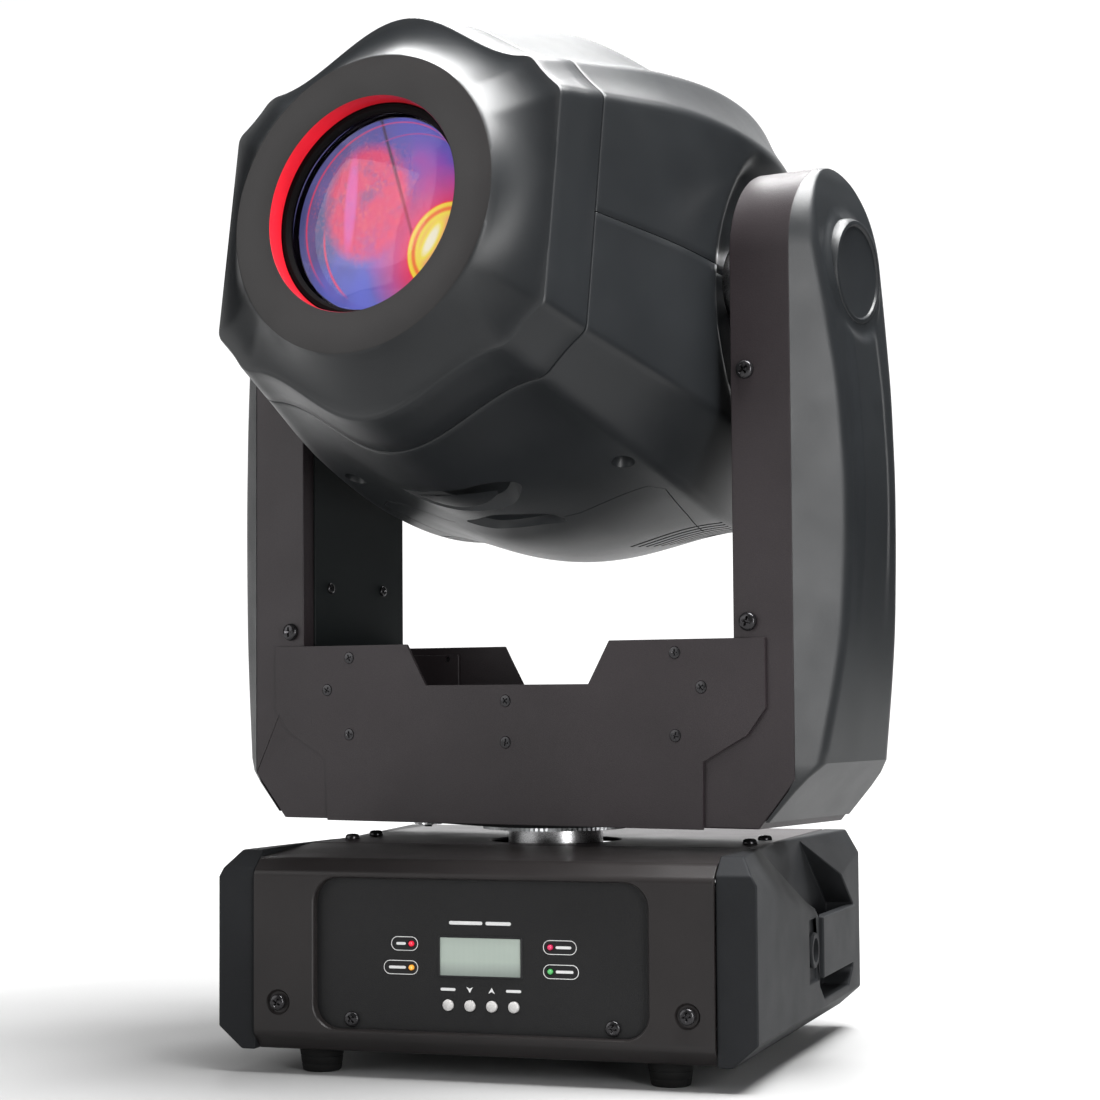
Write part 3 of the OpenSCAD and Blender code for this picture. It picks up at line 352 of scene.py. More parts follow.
def opening_look():
    """Black wall of the lens opening, reddened on the side that the lamp's light reaches."""
    look = Look("opening wall", HEAD).set(Roughness=0.35, Specular_IOR_Level=0.3)
    lit = look.spot((-0.075, -0.205, -0.005), 0.17, (1, 0.4, 0.7))
    lit = look.math("MULTIPLY", lit, look.spread(look.noise(25, 3), 0.9, 1.08))
    shown = look.mix(look.spread(lit, 0, 1, 0.12, 0.98), (0.003, 0.002, 0.002), (0.80, 0.009, 0.024))
    look.colour(look.mix(0.5, shown, (0.012, 0.01, 0.01))).glow(shown, 0.8)
    look.bump(look.noise(1600, 3), 0.00006)
    return look.mat


display_mat = display_look()
glass_mat = glass_look()
optic_mat = optic_look()
opening_mat = opening_look()

BY_SLOT = {
    "casing": casing_mat, "powder_coat": powder_mat, "black_plastic": black_mat, "rubber": rubber_mat,
    "display_window": display_mat, "keys": key_mat, "lens": glass_mat, "steel": steel_mat,
    "screws": screw_mat,
    "lamps": textured("lamp plastic", (0.4, 0.02, 0.03), 600, 0.00001, 0.12),
    "circuit_board": textured("solder mask", (0.012, 0.09, 0.035), 700, 0.00003, 0.35),
    "belt": textured("belt rubber", (0.008, 0.008, 0.009), 1500, 0.0001, 0.65),
    "alloy": brushed("turned alloy", (0.7, 0.7, 0.71), 0.28, (1, 1, 14)),
    "bearing_steel": brushed("bearing steel", (0.58, 0.59, 0.6), 0.2, (1, 1, 10)),
    "motor": textured("motor paint", (0.011, 0.011, 0.012), 1200, 0.00006, 0.4),
    "black_metal": textured("black metal", (0.012, 0.012, 0.013), 1400, 0.00004, 0.38, metallic=0.4),
}
slot_of = {part["node"]: part["material_slot"] for part in frame["record"]["subparts"]}
for name, slot_name in slot_of.items():
    mesh = nodes[name].data
    mesh.materials.clear()
    mesh.materials.append(BY_SLOT[slot_name])


# ---- Mesh tools: all shapes are in millimetres until piece() scales them

def grid(bm, rows, ring_rows=False, ring_cols=False, mat=0):
    """Faces between neighbouring rows of points. A ring joins its last row or column to its first."""
    verts = [[bm.verts.new(Vector(p)) for p in row] for row in rows]
    m, n = len(rows), len(rows[0])
    for j in range(m if ring_rows else m - 1):
        for i in range(n if ring_cols else n - 1):
            j1, i1 = (j + 1) % m, (i + 1) % n
            bm.faces.new((verts[j][i], verts[j][i1], verts[j1][i1], verts[j1][i])).material_index = mat
    return verts


def shell(bm, outer, inner):
    """Closed wall between two grids of the same size."""
    a, b = grid(bm, outer), grid(bm, inner)
    m, n = len(a), len(a[0])
    for j in (0, m - 1):
        for i in range(n - 1):
            bm.faces.new((a[j][i], a[j][i + 1], b[j][i + 1], b[j][i]))
    for i in (0, n - 1):
        for j in range(m - 1):
            bm.faces.new((a[j][i], a[j + 1][i], b[j + 1][i], b[j][i]))


def block(bm, loops):
    """Solid through closed loops of points, with flat ends."""
    verts = grid(bm, loops, ring_cols=True)
    for loop in (verts[0], verts[-1]):
        bm.faces.new(loop)


def solid_of(make, *args):
    """New bmesh filled by one of the functions that add to a bmesh."""
    bm = bmesh.new()
    make(bm, *args)
    return bm


FACING = {
    "up": ((1, 0, 0), (0, 1, 0), (0, 0, 1)),
    "down": ((1, 0, 0), (0, -1, 0), (0, 0, -1)),
    "front": ((1, 0, 0), (0, 0, 1), (0, -1, 0)),
    "back": ((-1, 0, 0), (0, 0, 1), (0, 1, 0)),
    "right": ((0, 1, 0), (0, 0, 1), (1, 0, 0)),
    "left": ((0, -1, 0), (0, 0, 1), (-1, 0, 0)),
}


def revolve(bm, profile, facing="up", centre=(0, 0, 0), steps=96, mat=0):
    """Closed profile of (radius, height) turned round an axis."""
    u, v, w = (Vector(a) for a in FACING[facing])
    turns = [2 * math.pi * k / steps for k in range(steps)]
    grid(bm, [[Vector(centre) + (u * math.cos(a) + v * math.sin(a)) * r + w * h for r, h in profile]
              for a in turns], ring_rows=True, ring_cols=True, mat=mat)


def bezier(a, b, c, steps):
    """Points of a quadratic arc from a to c, pulled towards b, without its first point."""
    return [a * (1 - t) ** 2 + b * 2 * t * (1 - t) + c * t * t
            for t in [k / steps for k in range(1, steps + 1)]]


def dome(edge_r, edge_h, height, steps, power):
    """Profile from the edge of a cap to its middle. Power 1 is round, and a higher one bulges less."""
    return [(edge_r * math.cos(a), edge_h + height * math.sin(a) ** power)
            for a in [math.pi / 2 * k / steps for k in range(steps + 1)]]


def rounded_loop(points, radius, steps):
    """Closed 2D outline with its corners softened."""
    out = []
    for k, p in enumerate(points):
        p, before, after = Vector(p), Vector(points[k - 1]), Vector(points[(k + 1) % len(points)])
        r = min(radius, (before - p).length * 0.45, (after - p).length * 0.45)
        start, end = p + (before - p).normalized() * r, p + (after - p).normalized() * r
        out += [start] + bezier(start, p, end, steps)
    return out


def smooth(t):
    u = min(max(t, 0), 1)
    return u * u * (3 - 2 * u)


def clean(bm):
    bmesh.ops.remove_doubles(bm, verts=bm.verts, dist=0.002)
    bmesh.ops.dissolve_degenerate(bm, edges=bm.edges, dist=0.0005)
    bmesh.ops.recalc_face_normals(bm, faces=bm.faces)


def round_edges(bm, edges, width):
    bmesh.ops.bevel(bm, geom=edges, offset=width, offset_type="OFFSET", segments=2, profile=0.5,
                    affect="EDGES", clamp_overlap=False)


def add_object(name, data):
    obj = bpy.data.objects.new(name, data)
    bpy.context.scene.collection.objects.link(obj)
    return obj


def to_mesh(name, bm):
    """Mesh in metres from a bmesh in millimetres."""
    bmesh.ops.scale(bm, vec=(MM, MM, MM), verts=bm.verts)
    mesh = bpy.data.meshes.new(name)
    bm.to_mesh(mesh)
    bm.free()
    return mesh


def carve(obj, cut):
    """Takes the closed solids of a bmesh out of an object that has no modifiers."""
    clean(cut)
    cutter = add_object("cutter", to_mesh("cutter", cut))
    mod = obj.modifiers.new("cut", "BOOLEAN")
    mod.object, mod.operation, mod.solver = cutter, "DIFFERENCE", "EXACT"
    carved = bpy.data.meshes.new_from_object(obj.evaluated_get(bpy.context.evaluated_depsgraph_get()))
    obj.modifiers.clear()
    obj.data = carved
    bpy.data.objects.remove(cutter)


def piece(name, bm, mats, body, replaces=(), cuts=(), angle=32, flat=False, placed=False):
    """Adds a mesh in the axes of its body, or one that is placed already.
    Each bmesh in cuts is carved out of it first."""
    clean(bm)
    obj = add_object(name, to_mesh(name, bm))
    for mat in mats if isinstance(mats, list) else [mats]:
        obj.data.materials.append(mat)
    for cut in cuts:
        carve(obj, cut)
    if not placed and body in AXES:
        obj.data.transform(AXES[body])
    finish_shading(obj, angle, flat)
    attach(obj, body)
    if replaces:
        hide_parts(*replaces)
    return obj


def finish_shading(obj, angle, flat):
    """Smooth shading up to an angle; flat keeps large faces flat beside their rounded edges."""
    obj.data.shade_smooth()
    obj.data.set_sharp_from_angle(angle=math.radians(angle))
    if flat:
        mod = obj.modifiers.new("normals", "WEIGHTED_NORMAL")
        mod.keep_sharp = True


SHARP_ANGLE, SHORTEST_EDGE, FLAT_ANGLE = 35, 1.2, 0.8


def refine(node, mat, width):
    """Stands a copy of a CAD node in its place, with its sharp edges rounded."""
    bm = bmesh.new()
    bm.from_mesh(nodes[node].data)
    bmesh.ops.scale(bm, vec=(1 / MM, 1 / MM, 1 / MM), verts=bm.verts)
    bmesh.ops.remove_doubles(bm, verts=bm.verts, dist=0.01)
    bmesh.ops.dissolve_limit(bm, angle_limit=math.radians(FLAT_ANGLE), verts=bm.verts, edges=bm.edges)
    round_edges(bm, [e for e in bm.edges if len(e.link_faces) == 2 and e.calc_length() > SHORTEST_EDGE
                     and e.calc_face_angle(0) > math.radians(SHARP_ANGLE)], width)
    piece(node + "_finished", bm, mat, nodes[node]["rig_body"], (node,), angle=50,
          flat=True, placed=True)


def screw(bm, crosses, spot, facing, r, h, shank_r, shank, flat, turn):
    """Screw with its head on spot, and the cutter of its cross recess. A flat one is countersunk."""
    u, v, w = (Vector(a) for a in FACING[facing])
    head = [(shank_r, 0), (r - 0.2, 0), (r, 0.2), (r, h * 0.35), (r * 0.95, h * 0.6), (r * 0.84, h * 0.8),
            (r * 0.66, h * 0.93), (r * 0.4, h), (0, h)]
    if flat:
        head = [(shank_r, -1.6), (r, -0.25), (r, h - 0.35), (r - 0.15, h - 0.1), (r - 0.5, h), (0, h)]
    revolve(bm, [(0, -shank), (shank_r, -shank)] + head, facing, spot, 40)
    long, wide = r * 0.58, r * 0.13
    depth = 0.95 if flat else h * 0.6
    arms = [(math.radians(90 * k + turn), x, y) for k in range(4)
            for x, y in ((long, -wide), (long, wide), (wide, wide))]
    cross = [u * (x * math.cos(a) - y * math.sin(a)) + v * (x * math.sin(a) + y * math.cos(a))
             for a, x, y in arms]
    block(crosses, [[Vector(spot) + p * grow + w * height for p in cross]
                    for grow, height in ((0.5, h - depth), (1.0, h - 0.08), (1.15, h + 0.6))])


def fasteners(node, body, heads):
    """Screws of one node. Each of heads: its place, the way it faces, its sizes, and whether it is flat.
    The sizes are the head's radius and height and the shank's radius and length."""
    bm, crosses = bmesh.new(), bmesh.new()
    for k, (spot, facing, size, flat) in enumerate(heads):
        screw(bm, crosses, spot, facing, *size, flat, 37 * k % 90)
    piece(node + "_turned", bm, screw_mat, body, (node,), [crosses], angle=40)


# ---- Head: casings

# Casing sections from front to rear: position, half width, half height of the side,
# corner x, corner z, crest z
SECTIONS = [
    (-188, 115, 63, 93, 86, 122), (-155, 123, 70, 98, 96, 133), (-80, 141, 84, 111, 116, 153),
    (0, 145, 91, 115, 131, 168), (70, 131, 95, 107, 134, 164), (130, 109, 86, 90, 119, 143),
    (175, 86, 66, 70, 92, 110), (198, 62, 48, 50, 66, 78),
]
WALL = 3
RING_Y, RING_R, OPENING_R, OPENING_DEPTH = 212, 89.5, 64.4, 11.2
RIM_Y, SEAM_Y, TAIL_Y = -188, -155, 198
SPLIT_GAP = 0.15
DISH, HOLLOW, CREST_LIFT = 8, 1.3, 12
SIDE_SOFT, SHOULDER_SOFT = 4.5, 7
CASING_SCREWS = [(side * x, y) for side in (-1, 1) for x, y in ((98, -62), (78.4, 95))]
SCREW_SEAT = -112


def section(y, k):
    """Smooth cubic through the sections."""
    i = max([n for n in range(len(SECTIONS) - 1) if SECTIONS[n][0] <= y], default=0)

    def slope(n):
        a, b = max(n - 1, 0), min(n + 1, len(SECTIONS) - 1)
        return (SECTIONS[b][k] - SECTIONS[a][k]) / (SECTIONS[b][0] - SECTIONS[a][0])

    y0, y1 = SECTIONS[i][0], SECTIONS[i + 1][0]
    h, t = y1 - y0, (y - y0) / (y1 - y0)
    return ((2 * t ** 3 - 3 * t ** 2 + 1) * SECTIONS[i][k] + (t ** 3 - 2 * t ** 2 + t) * h * slope(i)
            + (3 * t ** 2 - 2 * t ** 3) * SECTIONS[i + 1][k] + (t ** 3 - t ** 2) * h * slope(i + 1))


def side_x(y, z):
    """The sides step inwards round the arms, behind a curved ridge that fades towards the edges."""
    ridge = 62 - math.sqrt(max(112 ** 2 - z ** 2, 0))
    fade = 1 - smooth(4 * abs(z) / section(y, 2) - 2.9)
    return section(y, 1) - DISH * smooth((y - ridge) / 14) * (1 - smooth((y - 90) / 70)) * fade


def rise(y):
    """Behind the front the crest of the upper casing stands higher than that of the lower one."""
    return CREST_LIFT * smooth((y + 120) / 100) * (1 - smooth((y - 110) / 80))


def outline(y, t=0.0, split=SPLIT_GAP, half=0):
    """Upper half outline, from the right split line over the top to the left one, inset by t.
    half is 1 for the upper casing, -1 for the lower one and 0 in front of both."""
    f, cx = section(y, 2) - 0.4 * t, section(y, 3) - 0.7 * t
    cz, crest_z = section(y, 4) - t, section(y, 5) + half * rise(y) - t

    def side(z):
        return Vector((side_x(y, z) - t, z))

    def crest(u):
        return Vector((cx * u, cz + (crest_z - cz) * (0.5 + 0.5 * math.cos(math.pi * u))))

    corner, shoulder = side(f), crest(1)
    run = shoulder - corner
    outward = Vector((run.y, -run.x)).normalized()

    def facet(s):
        return corner + run * s - outward * HOLLOW * 4 * s * (1 - s)

    s0, s1, u1 = SIDE_SOFT / run.length, 1 - SHOULDER_SOFT / run.length, 1 - SHOULDER_SOFT / cx
    side_top = f - SIDE_SOFT
    points = [side(split) - Vector((0.5, 0)), side(split + 0.12) - Vector((0.15, 0)), side(split + 0.45)]
    points += [side(split + 0.45 + (side_top - split - 0.45) * k / 18) for k in range(1, 19)]
    points += bezier(side(side_top), corner, facet(s0), 5)
    points += [facet(s0 + (s1 - s0) * k / 6) for k in range(1, 7)]
    points += bezier(facet(s1), shoulder, crest(u1), 6)
    points += [crest(u1 * (1 - k / 20)) for k in range(1, 20)]
    mirrored = [Vector((-p.x, p.y)) for p in reversed(points)]
    return points + [crest(0)] + mirrored


def under_z(x, y):
    """Height of the lower casing's surface below a point of the head's own plan."""
    cx, cz, crest_z = section(y, 3), section(y, 4), section(y, 5) - rise(y)
    if abs(x) <= cx:
        return -(cz + (crest_z - cz) * (0.5 + 0.5 * math.cos(math.pi * x / cx)))
    f, w = section(y, 2), section(y, 1)
    return -(cz + (f - cz) * (abs(x) - cx) / (w - cx))


def thickening(x, y):
    """Extra wall inside the lower casing, behind its pockets."""
    near = [smooth((20 - math.hypot(abs(x) - abs(sx), y - sy)) / 6) for sx, sy in CASING_SCREWS]
    grip = smooth((58 - abs(x)) / 8) * smooth((y + 122) / 8) * smooth((-10 - y) / 8)
    return 10 * max(near + [grip])


def casing_rows():
    """Positions of the casing's rows, closest where the ridge crosses the sides."""
    rows, y = [SEAM_Y + 0.4, SEAM_Y + 0.65, SEAM_Y + 1.1], SEAM_Y + 4
    while y < TAIL_Y - 3:
        rows.append(y)
        y += 2.4 if -62 < y < 24 else 5
    return rows + [TAIL_Y - 1.6, TAIL_Y - 0.6, TAIL_Y]


# How far the casing rolls in at its first and last rows
ROLL = {0: 0.6, 1: 0.18, -1: 1.2, -2: 0.4}
HUB_HOLE = (27.8, 110, 175)


def casing(lower):
    """Half of the head's casing, with its wall."""
    rows = casing_rows()
    roll = [0.0] * len(rows)
    for k, inset in ROLL.items():
        roll[k] = inset
    sign = -1 if lower else 1
    outer = [[(p.x, y, sign * p.y) for p in outline(y, t, half=sign)] for y, t in zip(rows, roll)]
    inner = [[(p.x, y, sign * max(p.y - (thickening(p.x, y) if lower else 0), SPLIT_GAP))
              for p in outline(y, WALL, half=sign)] for y in rows]
    bm = bmesh.new()
    shell(bm, outer, inner)
    return bm


def hub_holes():
    """Cutter for the holes in the sides that the tilt hubs go through."""
    r, inside, outside = HUB_HOLE
    bm = bmesh.new()
    for side in ("right", "left"):
        revolve(bm, [(0, inside), (r, inside), (r, outside), (0, outside)], side)
    return bm


def through(points, per):
    """Smooth closed curve through 2D points, with that many steps between two of them."""
    out, n = [], len(points)
    for k in range(n):
        a, b, c, d = (Vector(points[(k + j) % n]) for j in (-1, 0, 1, 2))
        out += [0.5 * (2 * b + (c - a) * t + (2 * a - 5 * b + 4 * c - d) * t ** 2
                       + (3 * b - a - 3 * c + d) * t ** 3) for t in [j / per for j in range(per)]]
    return out


def pocket(bm, plan, depth, draft):
    """Cutter for a recess in the underside: a plan outline taken in to that depth."""
    plan = [Vector(p) for p in plan]
    middle = sum(plan, Vector((0, 0))) / len(plan)
    loops = []
    for share, level in ((1.03, -4), (1.0, 0), (0.5 + 0.5 * draft, depth * 0.7), (draft, depth)):
        at = [middle + (p - middle) * share for p in plan]
        loops.append([(q.x, q.y, under_z(p.x, p.y) + level) for q, p in zip(at, plan)])
    block(bm, loops)


def groove(bm, path, width, depth):
    """Cutter for a thin line in the underside along a path of (x, y)."""
    path = [Vector(p) for p in path]
    dense = [path[0]]
    for a, b in zip(path, path[1:]):
        n = max(int((b - a).length / 3), 1)
        dense += [a.lerp(b, k / n) for k in range(1, n + 1)]
    loops = []
    for k, p in enumerate(dense):
        along = (dense[min(k + 1, len(dense) - 1)] - dense[max(k - 1, 0)]).normalized()
        across = Vector((-along.y, along.x)) * width / 2
        a, b, z = p - across, p + across, under_z(p.x, p.y)
        loops.append([(a.x, a.y, z - 3), (b.x, b.y, z - 3), (b.x, b.y, z + depth), (a.x, a.y, z + depth)])
    block(bm, loops)


# Plan of the underside: hand recess, latch with its strip, edge of the hatch
GRIP = [(-38, -94), (-20, -104), (-2, -109), (17, -106), (31, -101), (41, -90), (40, -80), (27, -68),
        (12, -69), (-9, -75), (-26, -82)]
LATCH = [(-22, -44), (-8, -54), (8, -60), (24, -51), (36, -38), (38, -24), (24, -30), (6, -34), (-10, -35)]
HATCH = [(40, -30), (50, -27), (66, -27), (96, -28), (104, -20), (96, 24), (86, 64)]


def louvres(bm):
    for k in range(8):
        for sign in (1, -1):
            y = 46 + 6 * k
            groove(bm, [(sign * (44 + 2.2 * k), y), (sign * (section(y, 3) - 4), y + 3)], 2.2, 2.2)


def screw_pockets(bm):
    for x, y in CASING_SCREWS:
        z = under_z(x, y)
        floor_z = SCREW_SEAT - 0.6
        revolve(bm, [(0, -180), (7.4, -180), (7.4, z - 1), (6.5, z + 1.5), (6.5, floor_z), (0, floor_z)],
                "up", (x, y, 0), 40)


def lower_cuts():
    hatch = [solid_of(groove, [(sign * x, y) for x, y in HATCH], 0.7, 1.5) for sign in (1, -1)]
    return [hub_holes(), solid_of(pocket, through(GRIP, 5), 7.5, 0.8),
            solid_of(pocket, through(LATCH, 5), 5, 0.85), solid_of(louvres), solid_of(screw_pockets)] + hatch


piece("upper_casing", casing(False), casing_mat, "head", ("upper_shell",), [hub_holes()], 30)
piece("lower_casing", casing(True), casing_mat, "head", ("lower_shell",), lower_cuts(), 30)


# ---- Head: front bezel and lens

def full(y, t=0.0):
    """Whole outline in front of the split, inset by t."""
    top = outline(y, t, 0.0)[2:-2]
    top[0].y = top[-1].y = 0
    return top + [Vector((p.x, -p.y)) for p in reversed(top[1:-1])]


def bezel():
    """Front bezel: its loops run from the opening over the ring and the scooped edge, and back inside."""
    rim = full(RIM_Y)
    inward = [p.normalized() for p in rim]

    def circle(y, r):
        return [(p.x * r, y, p.y * r) for p in inward]

    def band(y, t):
        return [(p.x, y, p.y) for p in full(y, t)]

    loops = [circle(-RING_Y + OPENING_DEPTH, OPENING_R), circle(-RING_Y + 1.0, OPENING_R),
             circle(-RING_Y + 0.3, OPENING_R + 0.3), circle(-RING_Y, OPENING_R + 1.0),
             circle(-RING_Y, RING_R - 1.2), circle(-RING_Y + 0.3, RING_R - 0.4)]
    steps = 20
    for k in range(1, steps + 1):
        u = k / steps
        y = RIM_Y - (RING_Y + RIM_Y) * (1 - u) ** 1.6
        edge = 0.7 * smooth((u - 0.9) / 0.1)
        points = [n * RING_R for n in inward]
        points = [c + (p - c) * u ** 1.15 - n * edge for c, p, n in zip(points, rim, inward)]
        loops.append([(p.x, y + 0.3 * (1 - u), p.y) for p in points])
    loops += [band(RIM_Y + 0.5, 0.25), band(RIM_Y + 1.4, 0), band(-180, 0), band(-168, 0),
              band(SEAM_Y - 1.1, 0), band(SEAM_Y - 0.65, 0.18), band(SEAM_Y - 0.4, 0.6),
              band(SEAM_Y - 0.4, 3.2), band(SEAM_Y + 6, 3.4), band(SEAM_Y + 6, 5), band(-170, 5),
              band(RIM_Y + 5, 4.5), circle(-RING_Y + WALL, RING_R - 3),
              circle(-RING_Y + WALL, OPENING_R + WALL), circle(-RING_Y + OPENING_DEPTH, OPENING_R + WALL)]
    return solid_of(grid, loops, True, True)


def paint_ring(obj):
    """Second material on the flat front ring, third on the wall of the lens opening."""
    local = HEAD.inverted()
    for face in obj.data.polygons:
        c = (local @ face.center) / MM
        r = math.hypot(c.x, c.z)
        if c.y < -RING_Y + 0.35 and r < RING_R - 0.6:
            face.material_index = 1
        if r < OPENING_R + 0.4:
            face.material_index = 2


ring = piece("front_ring_bezel", bezel(), [casing_mat, ring_mat, opening_mat], "head",
             ("front_bezel",), angle=34)
paint_ring(ring)

HOOD = [(61, 148), (68.5, 148), (68.5, 151), (64, 151.6), (64, 200.4), (63.6, 200.8), (61.2, 200.8),
        (60.4, 200.2), (59.4, 198.8), (59.1, 198), (61.2, 196.4), (61.5, 195.8), (61.5, 189.4),
        (58.2, 189), (58, 186), (61, 184)]
GLASS = ([(0, 186)] + [(56 * k / 8, 186 + 4 * (k / 8) ** 2) for k in range(1, 9)]
         + [(60.6, 190.2), (60.8, 190.4), (60.8, 194.2), (60.3, 194.6)] + dome(58, 194.6, 11.4, 20, 2))
MIRROR = ([(60.4, 188.6), (60.4, 178), (0, 176)] + [(57 * k / 14, 183 + 4 * (k / 14) ** 2) for k in range(15)]
          + [(59.6, 188.4)])
for name, profile, mat, replaced, slot_name in (
        ("lens_retainer", HOOD, baffle_mat, ("lens_hood",), "black_plastic"),
        ("front_lens_glass", GLASS, glass_mat, ("front_lens",), "lens"),
        ("front_lens_mirror", MIRROR, optic_mat, (), "lens")):
    piece(name, solid_of(revolve, profile, "front", (0, 0, 0), 128), mat, "head", replaced)


# ---- Yoke

ARM_HALF, ARM_TOP, ARM_OUT = 56.5, 537, 196
ARC_Z = ARM_TOP - ARM_HALF
FOOT_LOW, FOOT_HIGH = Vector((173, 144)), Vector((196, 172))
COVER_GAP = 0.3
# Arm cover from bottom to top: height and outermost x
COVER = [(182, 209), (228, 216.3), (261, 220.2), (310, 222.2), (350, 222.4), (404, 219.5), (456, 213),
         (480, 209.5), (505, 206), (525, 202.5), (535, 199), (537, 198)]
COVER_FOOT = Vector((176.5, 146))
DISC_Z, DISC_R, DISC_X = tilt_z + 3, 31, 215
SPINE, PAD, COVER_WALL_MM = 1.8, 2.2, 2.0


def cover_lerp(z):
    """Outermost x of the arm cover, straight between the joints in COVER."""
    k = max([n for n in range(len(COVER) - 1) if COVER[n][0] <= z], default=0)
    (z0, x0), (z1, x1) = COVER[k], COVER[k + 1]
    t = (z - z0) / (z1 - z0)
    return x0 + (x1 - x0) * t


def cover_side(z):
    """Outermost x of the arm cover, its joints in COVER smoothed."""
    if z <= COVER[0][0]:
        low, high = COVER_FOOT, Vector((COVER[0][1], COVER[0][0]))
        return low.x + (z - low.y) * (high.x - low.x) / (high.y - low.y)
    reach = min(14, z - COVER[0][0], max(ARM_TOP - z, 0))
    return sum(cover_lerp(z + reach * k / 3) for k in range(-3, 4)) / 7


def cover_edge(z):
    """Innermost x of the arm cover, where it meets the arm."""
    slope = (FOOT_HIGH.x - FOOT_LOW.x) / (FOOT_HIGH.y - FOOT_LOW.y)
    return COVER_GAP + min(ARM_OUT - COVER_GAP, FOOT_LOW.x + (z - FOOT_LOW.y) * slope)


def cover_row(z, inset=0.0):
    """Section of an arm cover: front facet, soft corner, outer face, and back the same way."""
    half = ARM_HALF if z < ARC_Z else math.sqrt(max(ARM_HALF ** 2 - (z - ARC_Z) ** 2, 3))
    x0, x = cover_edge(z), cover_side(z) - inset
    a = half - inset * 0.6
    depth = max(x - x0, 0.3)
    q = min(depth / 1.2, a * 0.6)
    corner = Vector((x, a - q))
    start = Vector((x0, a))
    soft = min(5, q * 0.45, (a - q) * 0.3)
    down = (start - corner).normalized() * soft
    spine = SPINE * smooth((z - 250) / 90) * (1 - smooth((z - 470) / 40))
    edge = corner.y - soft

    def face(y):
        """Point of the outer face, with its spine, the pad round the disc and the hollow under it."""
        far = math.hypot(y, z - DISC_Z)
        pad = PAD * smooth((DISC_R + 7 - far) / 5.5) * smooth((far - DISC_R + 2.5) / 2)
        level = x + max(spine * smooth((24 - abs(y)) / 9), pad)
        cap = DISC_X - 0.7 - inset - 1.8 * smooth((DISC_R - 2 - far) / 1.5)
        return Vector((level + (min(level, cap) - level) * smooth((DISC_R + 12 - far) / 8), y))

    points = [start] + [start.lerp(corner + down, k / 5) for k in range(1, 6)]
    points += bezier(corner + down, corner, face(edge), 5)
    points += [face(edge * (1 - k / 26)) for k in range(1, 26)]
    points.append(face(0))
    return [(p.x, -p.y, z) for p in points] + [(p.x, p.y, z) for p in reversed(points[:-1])]


# Heights of the rows: the foot, the long middle, finer round the disc, and closing up over the top
COVER_ROWS = [148, 150, 158, 166, 174, 182, 190] + [200 + 8 * k for k in range(29)]
COVER_ROWS += [426 + 2.5 * k for k in range(31)] + [505, 509, 513, 517, 521, 524, 527, 529.5, 531.5, 533.3]
COVER_ROWS = sorted(set(COVER_ROWS + [534.8, 536, 536.7]))


def arm_cover(side):
    """Moulded cover on the outside of an arm, with the round boss over its bearing."""
    mirror = 1 if side == "right" else -1
    bm = bmesh.new()
    shell(bm, *[[[(mirror * x, y, z) for x, y, z in cover_row(level, inset)] for level in COVER_ROWS]
                for inset in (0.0, COVER_WALL_MM)])
    low = cover_side(DISC_Z) - 4
    revolve(bm, [(0, low), (DISC_R + 1.6, low), (DISC_R + 1.2, DISC_X - 3.4), (DISC_R, DISC_X - 1.0),
                 (DISC_R - 0.5, DISC_X - 0.25), (DISC_R - 1.2, DISC_X), (DISC_R - 2.6, DISC_X),
                 (DISC_R - 3.1, DISC_X - 0.3), (DISC_R - 3.7, DISC_X - 1.5), (DISC_R - 4.4, DISC_X - 1.7),
                 (0, DISC_X - 1.2)], side, (0, 0, DISC_Z), 128)
    return bm


for side in ("right", "left"):
    node = "arm_cover_" + side
    piece(node + "_moulded", arm_cover(side), casing_mat, "yoke", (node,), angle=30)
    refine("arm_frame_" + side, powder_mat, 0.8)
for node, mat in (("inner_panels", inner_mat), ("yoke_floor", powder_mat)):
    refine(node, mat, 0.5)

PLATE = 2.0
CROSS_SCREWS = [(x, z) for s in (1, -1) for x, z in ((119 * s, 247), (136.5 * s, 226.5), (119 * s, 198))]
CROSS_SCREWS += [(0, 219), (0, 193.5)]


def cross_plate(facing):
    """Notched plate over the front or rear of the arms, and the seats of its screws."""
    sign = -1 if facing == "front" else 1
    half = [(178.4, 255), (178.4, 214), (166, 198), (136.8, 183), (136.8, 143)]
    outline = half + [(-x, z) for x, z in reversed(half)]
    outline += [(-73.9, 255), (-59.7, 228.5), (59.7, 228.5), (73.9, 255)]
    bm, seats = bmesh.new(), bmesh.new()
    block(bm, [[(x, sign * y, z) for x, z in outline] for y in (ARM_HALF, ARM_HALF + PLATE)])
    round_edges(bm, list(bm.edges), 0.45)
    top = ARM_HALF + PLATE
    for x, z in CROSS_SCREWS:
        revolve(seats, [(0, top - 3), (1.9, top - 3), (1.9, top - 1.6), (3.8, top - 0.2), (4.1, top + 0.3),
                        (4.1, top + 1), (0, top + 1)], facing, (x, 0, z), 40)
    return bm, [seats]


for name, facing in (("front", "front"), ("rear", "back")):
    bm, seats = cross_plate(facing)
    node = "cross_plate_" + name
    piece(node + "_folded", bm, powder_mat, "yoke", (node,), seats, flat=True)

